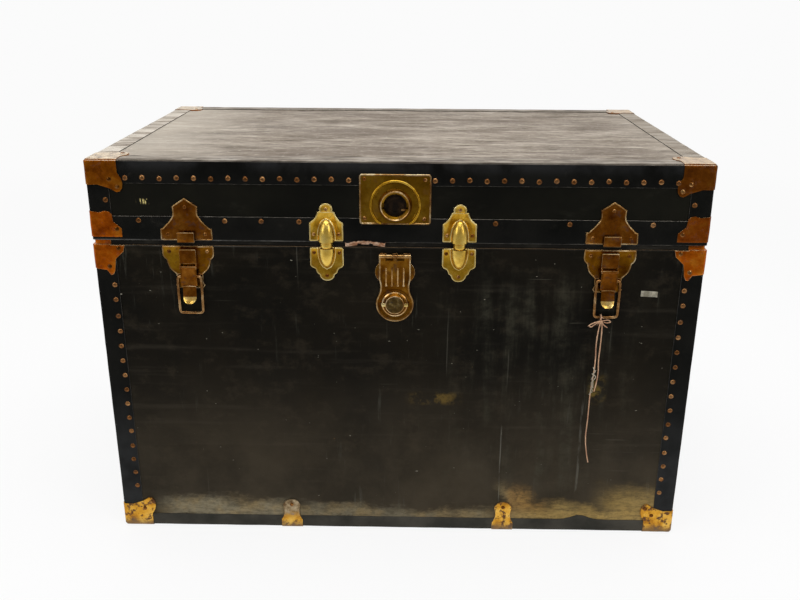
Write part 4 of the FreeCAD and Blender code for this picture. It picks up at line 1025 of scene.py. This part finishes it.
def top_row(bm):
    """Along the top binding, but for the lock plate's place."""
    for k in range(33):
        x = -399.0 + NAIL_STEP * k
        if not -62.0 < x < 52.0:
            nail(bm, ahead(x, NAIL_OUT, TOP_ROW + 0.8 * math.sin(k * 2.3)), OUT)
        if x < 395.0:
            nail(bm, metres(x, PANEL_Y + NAIL_OUT, TOP_ROW), -OUT)
    for k in range(17):
        for s in (-1, 1):
            nail(bm, metres(s * (PANEL_X + NAIL_OUT), -200.8 + NAIL_STEP * k, TOP_ROW), RIGHT * s)


def binding_rows(lid, chest):
    """Down the corner bindings, and along the valance."""
    for k, z in enumerate((428, 404, 377, 352, 327, 302, 277, 252, 227, 202, 178, 151, 126, 101.7, 76.5)):
        around(chest, CORNER_ROW + 0.7 * math.sin(k * 1.7), z, NAIL_OUT)
    around(lid, CORNER_ROW, 560.0, NAIL_OUT)
    for x in (-385, -257, -203, -147, 143, 252, 374):
        for s in (-1, 1):
            nail(lid, metres(x, s * (PANEL_Y + NAIL_OUT), VALANCE_ROW), OUT * -s)
    for y in (-190, -63, 63, 190):
        for s in (-1, 1):
            nail(lid, metres(s * (PANEL_X + NAIL_OUT), y, VALANCE_ROW), RIGHT * s)


def brass_nails(lid, chest):
    for a, z in ((422.0, 591.0), (411.0, 580.0), (418.0, 516.0)):
        around(lid, a, z, BRASS_OUT, *SMALL)
    for a, z in ((418.7, 486.4), (434.9, 457.5), (410.0, 46.0), (421.5, 33.5)):
        around(chest, a, z, BRASS_OUT, *SMALL)
    for sx in (-1, 1):
        for sy in (-1, 1):
            nail(lid, metres(sx * (BRASS_X - 45), sy * (BRASS_Y - 45), BRASS_Z), UP, *SMALL)
            nail(chest, metres(sx * 175.5, sy * (PANEL_Y + BRASS_OUT), 45.0), OUT * -sy, 3.2, 1.2, 1)


def fitting_nails(lid, chest):
    """In the hinge leaves, and in the handle bridges."""
    for a, low in ((256.0, 256.0), (280.0, 280.0), (304.0, 280.0)):
        for s in (-1, 1):
            nail(lid, metres(s * a, PANEL_Y + 3.6, 517.0), -OUT, 3.4, 1.2, 1)
            nail(chest, metres(s * a, PANEL_Y + 1.4, 474.0), -OUT, 3.4, 1.2, 1)
        for s in (1, -1):
            nail(chest, metres(s * low, PANEL_Y + 1.4, 451.0), -OUT, 3.4, 1.2, 1)
    for s in (-1, 1):
        for b in (-109.0, -92.0, 92.0, 109.0):
            for z in (278.0, 322.0):
                nail(chest, metres(s * (PANEL_X + 0.9), b, z), RIGHT * s, 2.8, 1.1, 1)


lid_nails = bmesh.new()
chest_nails = bmesh.new()
top_row(lid_nails)
binding_rows(lid_nails, chest_nails)
brass_nails(lid_nails, chest_nails)
fitting_nails(lid_nails, chest_nails)
add("lid_nail_heads", lid_nails, [COPPER, SCREW], "lid", slot="brass_aged")
add("chest_nail_heads", chest_nails, [COPPER, SCREW], "chest", slot="brass_aged")

# Draw bolts; in an outline S marks a sharp corner
S = True
HOOK = outline(both_halves([
    (0, 64, S), (18.6, 51.5, S), (18.0, 42, S), (19.5, 36), (25, 28), (32.5, 20.5, S), (34, 18.6, S),
    (38.2, 17, S), (38.5, 2, S), (37.4, 0, S),
]))
BASE = outline(both_halves([
    (38, 66, S), (38.5, 64, S), (38.5, 53.5), (36.5, 48), (33, 44.5, S), (31.5, 37.5), (28, 30), (20, 22, S),
    (19.3, 10, S), (22, 4.2, S), (19, 0, S),
]))
BOLT_X = 315.0
LID_SHEET = 2.4
CHEST_SHEET = 1.2
HOOK_FOOT = 500.0
HOOK_WIDE = 12.75
BASE_FOOT = 424.5
BAIL_LEG = 17.5
BAIL_TOP = 444
BAIL_FOOT = 386
BAIL_OUT = 5.3
BAIL_WIRE = 2.2
TONGUE_TOP = 429.5
TONGUE_LONG = 25.5
TIP_TOP = 413.5


def crease(bm, x, out, z, half, radius, fall=0.0):
    """A thin pressed line across a fitting; fall is how much its ends drop."""
    tube(bm, [ahead(x + a, out, z - abs(a) * fall) for a in (-half, 0, half)], radius, 8, EDGED)


def rivets(bm, x, out, places, radius, height):
    for a, z in places:
        nail(bm, ahead(x + a, out, z), OUT, radius, height, RIVET)


def make_hook_plate(side, x):
    bm = bmesh.new()
    plate(bm, HOOK, x, HOOK_FOOT, 0.0, LID_SHEET, rim=0.9, lip=0.32)
    bar(bm, x - HOOK_WIDE, x + HOOK_WIDE, 1.3, 9.1, 498.0, 499.2, 0.35)
    bar(bm, x - HOOK_WIDE, x + HOOK_WIDE, 7.9, 9.1, 498.0, 513.0, 0.45)
    rivets(bm, x, 2.2, ((0, 550.5), (-28, 509), (28, 509)), 3.1, 1.6)
    crease(bm, x, 8.5, 513.0, 12.2, 0.75)
    add(side + "_hook_plate", bm, [AGED, RIM, SCREW], "lid", ["draw_bolt_hook_plates"], "brass_aged")


def make_base_plate(side, x):
    bm = bmesh.new()
    plate(bm, BASE, x, BASE_FOOT, 0.0, CHEST_SHEET, edge=0.25, rim=0.9, lip=0.22)
    rivets(bm, x, 1.0, ((-28.5, 482.0), (28.5, 482.0)), 3.1, 1.6)
    crease(bm, x, 5.7, 486.2, 12.2, 0.95)
    for ends in ((-20, -14), (14, 20)):
        tube(bm, [ahead(x + a, 1.1, 450.5 - abs(a) * 0.25) for a in ends], 0.7, 8, EDGED)
    add(side + "_base_plate", bm, [GOLD, RIM, SCREW], "chest", ["draw_bolt_base_plates"], "brass_aged")


def make_bail(side, x):
    bm = bmesh.new()
    half = [(9.6, BAIL_TOP), (BAIL_LEG, BAIL_TOP), (BAIL_LEG + 0.4, 420), (BAIL_LEG, BAIL_FOOT)]
    whole = [(-a, z) for a, z in half] + half[::-1]
    tube(bm, filleted([ahead(x + a, BAIL_OUT, z) for a, z in whole], 5.5, 7), BAIL_WIRE, 14)
    add(side + "_bail_wire", bm, WIRE, side + "_bail", [side + "_draw_bolt_bail"], "brass_aged")


def make_lever(side, x):
    """The lever, with its tongue arched across and rolled outwards at the end."""
    node = side + "_draw_bolt_lever"
    bm = cad_copy(node)
    bevelled(bm, 0.32, rim=EDGED)
    sliced(bm, 2, [429.4] + [404.6 + 2.2 * k for k in range(12)])
    sliced(bm, 0, [x + k for k in range(-8, 9, 2)])
    for v in bm.verts:
        fall = max(0.0, (TONGUE_TOP - v.co.z / MM) / TONGUE_LONG)
        across = (v.co.x / MM - x) / 10.0
        end = max(0.0, (fall - 0.62) / 0.38)
        v.co.y -= (1.2 * (1 - across * across) * fall ** 0.7 + 3.4 * end * end) * MM
    crease(bm, x, 9.6, 460.6, 10.6, 0.75)
    crease(bm, x, 9.5, 430.4, 10.4, 0.7, 0.05)
    for f in bm.faces:
        z = f.calc_center_median().z
        if z < TONGUE_TOP * MM:
            f.material_index = 2 if z < TIP_TOP * MM else FIELD
    add(side + "_lever_worn", bm, [AGED, RIM, TIP], side + "_lever", [node], "brass_aged")


for side, x in (("left", -BOLT_X), ("right", BOLT_X)):
    make_hook_plate(side, x)
    make_base_plate(side, x)
    make_bail(side, x)
    make_lever(side, x)
softened("draw_bolt_housings", [AGED, RIM], "chest", 0.35, slot="brass_aged")
paint(WIRE, "draw_bolt_lever_pins")

# Dowels
LEFT_DOWEL = -107.0
RIGHT_DOWEL = 90.5
DOWEL_FOOT = 501.0
SOCKET_FOOT = 438.5
SOCKET_TOP = 490.5
DOME = 3
PIN_PLATE = outline(both_halves([
    (0, 57), (6.6, 54.6), (9.7, 49.5), (8.8, 45.2, S), (12.6, 43.8, S), (14.2, 39.5), (18.0, 33.0),
    (25, 27.2, S), (25, 1, S), (24, 0, S),
]))
SOCKET = outline(both_halves([
    (22.5, 52, S), (25, 50, S), (25, 24.5, S), (22.6, 21.2, S), (17.5, 18.5), (14.6, 12.0, S), (11.2, 9.4, S),
    (9.6, 5.0), (5.8, 1.3), (0, 0),
]))
PIN = [
    (0, -12), (6.4, -12), (8.3, -11.2), (9.2, -9.4), (9.25, -6), (9.25, -4.4), (9.9, -4.0), (9.9, -2.4),
    (9.25, -2.0), (9.25, 0), (0, 0),
]


def bullet(radius, height, steps=10):
    """Radii and heights of a smooth pointed dome."""
    return [(radius * max(0.0, 1 - (k / steps) ** 2.5) ** 0.56, height * k / steps) for k in range(steps + 1)]


def arch(half, height, sign=1):
    """The outline of a dome seen from the front; sign -1 turns it upside down."""
    points = both_halves([(0, height)] + bullet(half, height, 9)[-2::-1])
    return [(a, sign * b) for a, b in points]


def half_round(into, x, out, z, profile, segments, broad):
    """A half-round dome on a plate, made a little broader than deep."""
    piece = bmesh.new()
    revolve(piece, ahead(x, out, z), UP, -RIGHT, profile, segments, 180.0, DOME)
    for v in piece.verts:
        v.co.x = x * MM + (v.co.x - x * MM) * broad
    mesh = bpy.data.meshes.new("dome")
    piece.to_mesh(mesh)
    piece.free()
    into.from_mesh(mesh)
    bpy.data.meshes.remove(mesh)


def make_dowel(side, x):
    """The plate with its dome and pin on the lid, and the socket below them."""
    brass = [BRIGHT, PALE_RIM, SCREW, POLISH]
    high = bmesh.new()
    plate(high, PIN_PLATE, x, DOWEL_FOOT, 0.0, LID_SHEET, rim=1.1, lip=0.30)
    plate(high, arch(14.0, 35.0), x, DOWEL_FOOT + 0.3, 2.0, 3.4, edge=0.6)
    half_round(high, x, LID_SHEET, DOWEL_FOOT, [(0.0, 0.0)] + bullet(11.6, 33.0, 16), 32, 1.10)
    crease(high, x, 2.2, 545.0, 8.5, 0.8)
    rivets(high, x, 2.1, ((0, 549.5), (-18.6, 511), (18.6, 511)), 2.9, 1.5)
    add(side + "_dowel_plate", high, brass, "lid", ["dowel_pin_plates"], "brass_bright")
    pin = bmesh.new()
    revolve(pin, ahead(x, LID_SHEET, DOWEL_FOOT), UP, -RIGHT, PIN, 28, 180.0)
    add(side + "_dowel_pin", pin, [POLISH, PALE_RIM], "lid", ["dowel_pins"], "brass_bright")
    low = bmesh.new()
    plate(low, SOCKET, x, SOCKET_FOOT, 0.0, CHEST_SHEET, edge=0.25, rim=1.1, lip=0.22)
    plate(low, arch(13.9, 34.0, -1), x, SOCKET_TOP - 0.3, 0.8, 1.8, edge=0.3, rim=0.6, lip=0.25)
    cup = [(r, -h) for r, h in bullet(11.9, 31.5, 14)][::-1] + [(10.8, 0.0), (10.8, -10.5), (0.0, -10.5)]
    half_round(low, x, CHEST_SHEET, SOCKET_TOP, cup, 32, 1.06)
    rivets(low, x, 1.0, ((-19, 482.5), (19, 482.5), (0, 446.5)), 2.9, 1.5)
    add(side + "_dowel_socket", low, brass, "chest", ["dowel_socket_plates"], "brass_bright")


make_dowel("left", LEFT_DOWEL)
make_dowel("right", RIGHT_DOWEL)

# Lock plate
PLATE_WIDE = 52.5
PLATE_HIGH = 37.5
PLATE_ROUND = 4.5
PLATE_Z = 564.5
BORE = 24.0
RING = 35.8
COLLAR = [
    (24.9, 0.2), (24.9, 1.75), (24.2, 2.6), (23.4, 4.6), (22.6, 6.9), (22.0, 7.75), (21.1, 8.0), (20.4, 7.6),
    (19.3, 6.7), (17.6, 5.5), (16.8, 4.8), (16.6, 4.0), (16.6, 3.5), (16.6, 0.2), (24.9, 0.2),
]


def make_lock_plate():
    bm = bmesh.new()
    wide = PLATE_WIDE - PLATE_ROUND
    high = PLATE_HIGH - PLATE_ROUND
    corners = []
    for turn, (sx, sz) in zip((0, 90, 180, 270), ((1, 1), (-1, 1), (-1, -1), (1, -1))):
        corners += arc(sx * wide, sz * high, PLATE_ROUND, turn, turn + 90, 6)
    plate(bm, corners, LOCK_X, PLATE_Z, 0.0, 2.2, rim=1.5, lip=0.45, hole=(LOCK_X, LOCK_Z, BORE))
    # open at both sides, where the bolts snap in behind the collar; its crest rows take the rim's brass,
    # painted bright all round as a highlight
    centre = ahead(LOCK_X, 0, LOCK_Z)
    revolve(bm, centre, OUT, RIGHT, COLLAR, 72, bright=(4, 5, 6), gap=((8, 9, 10, 11), 0.22))
    # the pressed ring round the collar, hooked inwards at its two ends
    ring = arc(LOCK_X, LOCK_Z, RING, -43.5, 223.5, 60)
    ring = [(ring[0][0] - 5.5, ring[0][1] - 2.6)] + ring + [(ring[-1][0] + 5.5, ring[-1][1] - 2.6)]
    tube(bm, [ahead(a, 1.5, b) for a, b in ring], 2.1, 12, 3)
    tube(bm, [ahead(a, 1.55, b) for a, b in arc(LOCK_X, LOCK_Z, 32.6, -38, 218, 54)], 0.55, 8)
    rivets(bm, 0.0, 1.7, ((-50, 595), (38.7, 594), (-50, 536), (38, 535.5)), 3.2, 1.8)
    add("lock_plate_pressed", bm, [PLATE, RIM, SCREW, BRIGHT], "lid", ["lock_plate"], "brass_bright")


def make_throat():
    """What shows inside the lock plate's bore: a floor with a ring, painted dark as the shade in the bore,
    and two parts of the works.
    """
    bm = bmesh.new()
    floor = [(16.7, 0.0), (16.7, 0.5), (0.0, 0.5)]
    ring = [(13.2, 0.0), (13.2, 1.0), (12.0, 1.4), (9.4, 1.4), (9.0, 0.6), (0.0, 0.6)]
    revolve(bm, ahead(LOCK_X, 0.05, LOCK_Z), OUT, RIGHT, floor, 48)
    revolve(bm, ahead(LOCK_X, 0.5, LOCK_Z), OUT, RIGHT, ring, 40)
    bar(bm, LOCK_X - 16.4, LOCK_X - 11.0, 0.4, 2.4, LOCK_Z - 4.5, LOCK_Z + 3.0, rim=FIELD)
    bar(bm, LOCK_X + 9.0, LOCK_X + 15.4, 0.4, 2.8, LOCK_Z - 8.0, LOCK_Z - 5.2, index=EDGED)
    add("lock_throat", bm, [DARK, RIM], "lid", ["lock_plate"], "brass_bright")


make_lock_plate()
make_throat()

# Hasp with its lock case
KNUCKLES = ((-23.7, -13.4), (-3.1, 3.1), (13.4, 23.7))
HINGE_OUT = 6.5
HINGE_Z = 479.5
RIB_STEP = 8.8
RIB_OUT = 4.1
LEAF_SIDE = [(23.7, 76.5, S), (23.7, 40, S), (22.2, 33), (21.6, 27.5), (23.0, 18.5)]
LEAF_TOP = [
    (-13.4, 76.5, S), (-13.4, 69.3, S), (-3.1, 69.3, S), (-3.1, 76.5, S), (3.1, 76.5, S), (3.1, 69.3, S),
    (13.4, 69.3, S), (13.4, 76.5, S),
]
# a sloping brim, a crest in the rim's brass painted bright all round as a highlight, and a dark mottled face
# inside it
CASE = [
    (15.2, 4.1), (19.8, 4.1), (19.6, 4.9), (18.0, 5.9), (15.9, 7.2), (15.0, 8.4), (14.4, 9.25), (13.8, 9.6),
    (13.1, 9.55), (12.7, 9.44),
]
CASE_FACE = [(12.7, 9.44), (11.2, 9.50), (6.0, 9.52), (0.0, 9.54)]


def make_leaf(bm):
    foot = arc(0.0, 0.0, 28.4, 18, -198, 40)
    right = LEAF_SIDE + foot[:1]
    left = [(-p[0],) + tuple(p[1:]) for p in reversed(LEAF_SIDE)]
    leaf = outline(right + foot[1:] + left + LEAF_TOP, 4)
    plate(bm, leaf, LOCK_X, PLUG_Z, 3.0, 4.2, edge=0.25, rim=1.3, lip=0.28)
    for f in bm.faces:
        c = f.calc_center_median() / MM
        if c.z > 467 and abs(c.x - LOCK_X) < 16.5:
            f.material_index = FIELD


def make_hasp():
    bm = bmesh.new()
    make_leaf(bm)
    for start, end in KNUCKLES:
        wide = end - start
        barrel = [(1.5, 0.0), (2.7, 0.0), (3.0, 0.4), (3.0, wide - 0.4), (2.7, wide), (1.5, wide), (1.5, 0.0)]
        revolve(bm, ahead(LOCK_X + start, HINGE_OUT, HINGE_Z), RIGHT, UP, barrel, 28, index=EDGED)
    # four pressed ribs, each with a small knob at its foot
    for k in (-1.5, -0.5, 0.5, 1.5):
        x = LOCK_X + k * RIB_STEP
        rib = [ahead(x, RIB_OUT, z) for z in (461.0, 460.2, 434.5, 433.0)]
        tube(bm, rib, [0.5, 1.25, 1.25, 0.6], 10, EDGED)
        nail(bm, ahead(x, RIB_OUT, 432.5), OUT, 1.8, 1.2, EDGED)
    for radius, start, end, thick in ((23.3, 28, 152, 0.8), (24.4, 205, 335, 0.6)):
        tube(bm, [ahead(a, 4.0, b) for a, b in arc(LOCK_X, PLUG_Z, radius, start, end, 30)], thick, 8)
    # the lock case, open where the bolts pass
    centre = ahead(LOCK_X, 0, PLUG_Z)
    revolve(bm, centre, OUT, RIGHT, CASE, 72, bright=(1, 2, 6, 7), gap=((3, 4, 5), 0.205))
    revolve(bm, centre, OUT, RIGHT, CASE_FACE, 72, index=2)
    add("hasp_pressed", bm, [HASP, RIM, STEEL], "hasp", ["hasp_leaf_and_case"], "brass_aged")


make_hasp()
base = softened("hasp_base_plate", [HASP, RIM], "chest", 0.3, slot="brass_aged")
for f in base.data.polygons:
    at_side = f.material_index == EDGED and abs(f.center.x / MM - LOCK_X) > 24
    f.material_index = EDGED if f.center.z > 476.4 * MM or at_side else FIELD
for side in ("left", "right"):
    softened(side + "_lock_bolt", PALE_RIM, side + "_bolt", 0.3, slot="steel")
paint(STEEL, "key_cylinder")
paint(WIRE, "hasp_pin")

# Hinges and handles
softened("hinge_chest_leaves", [AGED, RIM], "chest", 0.4, slot="brass_aged")
softened("hinge_lid_leaves", [AGED, RIM], "lid", 0.4, slot="brass_aged")
paint(AGED, "hinge_pins")
softened("handle_end_caps", [CORNER, RIM], "chest", 0.45, slot="brass_corners")
softened("left_handle_strap", LEATHER, "chest", 0.9, slot="leather")
softened("right_handle_strap", LEATHER, "chest", 0.9, slot="leather")

# Twine: points in front of the wall, from the knot down, and the loose turns at the knot
LONG = [
    (306.6, 10.6, 377.5), (302.6, 11.4, 351.0), (305.4, 10.2, 309.0), (301.0, 8.8, 262.0),
    (301.6, 7.6, 212.0), (299.6, 6.6, 170.0), (308.0, 6.0, 135.0),
]
SHORT = [
    (310.0, 10.6, 377.5), (310.6, 11.6, 350.0), (309.0, 10.4, 318.0), (311.6, 9.6, 288.0),
    (307.0, 8.8, 263.0),
]
LOOSE = (
    [(308, 11.0, 381.0), (301, 13.4, 381.5), (292, 13.0, 377.0), (288.6, 12.0, 373.5)],
    [(308, 10.0, 380.0), (300, 11.2, 377.5), (293, 12.0, 371.8), (290.4, 11.4, 374.5)],
    [
        (308, 10.5, 380.6), (314, 13.0, 384.0), (320, 12.4, 383.6), (322.6, 11.0, 380.0),
        (318.5, 10.6, 378.6), (312, 10.5, 379.4),
    ],
    [(309, 11.0, 379.0), (313, 12.6, 375.0), (318.2, 12.0, 371.4)],
    [(308.6, 10.8, 382.0), (306.0, 11.6, 386.2), (309.2, 10.8, 388.2), (311.4, 10.2, 385.4)],
)


KNOT_X = 308.3
KNOT_Z = 381.4
THICK = 1.8


def strand(name, route, node, body):
    curve = bpy.data.curves.new(name, "CURVE")
    curve.dimensions = "3D"
    curve.bevel_depth = THICK / 2 * MM
    curve.bevel_resolution = 3
    curve.use_fill_caps = True
    spline = curve.splines.new("NURBS")
    spline.points.add(len(route) - 1)
    for point, place in zip(spline.points, route):
        point.co = (*ahead(*place), 1.0)
    spline.order_u = 3
    spline.use_endpoint_u = True
    spline.resolution_u = 16
    curve.materials.append(TWINE)
    obj = enter(name, curve)
    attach(obj, body)
    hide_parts(node)


def make_knot():
    """Three turns round the loop, the loose turns, and fuzz."""
    bm = bmesh.new()
    turns = []
    for k in range(61):
        t = k / 60 * math.tau * 3.0
        z = KNOT_Z - 3.2 * k / 60 + 0.7 * math.sin(t * 2.0)
        turns.append(ahead(KNOT_X + 2.0 * math.cos(t), 10.4 + 1.9 * math.sin(t), z))
    tube(bm, turns, THICK / 2, 8)
    for points in LOOSE:
        route = filleted([ahead(*p) for p in points], 6.0, 5)
        tube(bm, route, [0.85] * (len(route) - 1) + [0.45], 8)
    for k in range(26):
        x = KNOT_X + random.uniform(-3, 3)
        out = 11.0 + random.uniform(-1, 1)
        start = ahead(x, out, 380.5 + random.uniform(-3.5, 3))
        away = Vector((random.uniform(-1, 1), -random.uniform(0.1, 1.0), random.uniform(-1, 0.8)))
        reach = random.uniform(2.5, 6.0) * MM
        hair = [start, start + away * reach * 0.6, start + away * reach - UP * reach * 0.3]
        tube(bm, hair, [0.16, 0.13, 0.06], 5)
    return add("string_knot_tied", bm, TWINE, "string_loop", ["string_knot"], "string")


def make_tangle():
    """The frayed tangle caught on the long strand."""
    bm = bmesh.new()
    for k in range(9):
        z = 304.0 - 4.6 * k
        a = 303.6 + (k % 2) * 2.4 - 0.35 * k
        points = []
        for j in range(4):
            x = a + random.uniform(-3.0, 3.0)
            out = 10.0 + random.uniform(-0.6, 1.4)
            points.append(ahead(x, out, z + random.uniform(-1.5, 1.5) - 3.4 * j))
        tube(bm, filleted(points, 4.0, 4), 0.62, 6)
    add("twine_tangle", bm, GREY_TWINE, "string_tail", slot="string")


knot = make_knot()
strand("long_twine", LONG, "string_long_strand", "string_tail")
strand("short_twine", SHORT, "string_short_strand", "string_loop")
make_tangle()
paint(TWINE, "string_loop")


# Torn paper in the seam, and the small blank label
def sheet(bm, rows, thick):
    """A thin sheet over rows of points."""
    for a, b in zip(rows, rows[1:]):
        for k in range(len(a) - 1):
            bm.faces.new((a[k], b[k], b[k + 1], a[k + 1]))
    bmesh.ops.solidify(bm, geom=bm.faces[:], thickness=thick * MM)


def make_scrap():
    bm = bmesh.new()
    rows = []
    for k in range(31):
        x = -79.0 + 59.0 * k / 30
        lift = 3.4 * math.sin(math.pi * k / 30) ** 2
        wide = 2.2 + 1.4 * abs(math.cos(math.pi * k / 30)) + random.uniform(-0.7, 0.7)
        curl = 1.6 + 1.0 * math.sin(k * 0.9)
        rows.append([bm.verts.new(p) for p in (
            ahead(x, -1.2, 491.8 + lift),
            ahead(x, 1.7 + curl * 0.5, 493.0 + lift + wide * 0.7),
            ahead(x + random.uniform(-0.8, 0.8), 1.8 + curl * 0.3, 494.4 + lift * 1.3 + wide * 1.2),
        )])
    sheet(bm, rows, 0.25)
    # painted shade inside, in the middle and low down
    for f in bm.faces:
        c = f.calc_center_median() / MM
        f.material_index = 1 if -61 < c.x < -38 and c.z < 496.3 else 0
    add("torn_paper", bm, [SCRAP, DARK], "chest")


def make_label():
    bm = bmesh.new()
    rows = []
    for k in range(11):
        a = k / 10
        lift = 0.25 + 0.9 * a ** 6 + 0.4 * (1 - a) ** 8
        x = 366.3 + 25.0 * a
        rows.append([bm.verts.new(ahead(x + 0.3 * j, lift, 417.3 + 1.0 * (1 - a) + 9.0 * j)) for j in (0, 1)])
    sheet(bm, rows, 0.2)
    add("blank_label", bm, LABEL, "chest")


make_scrap()
make_label()
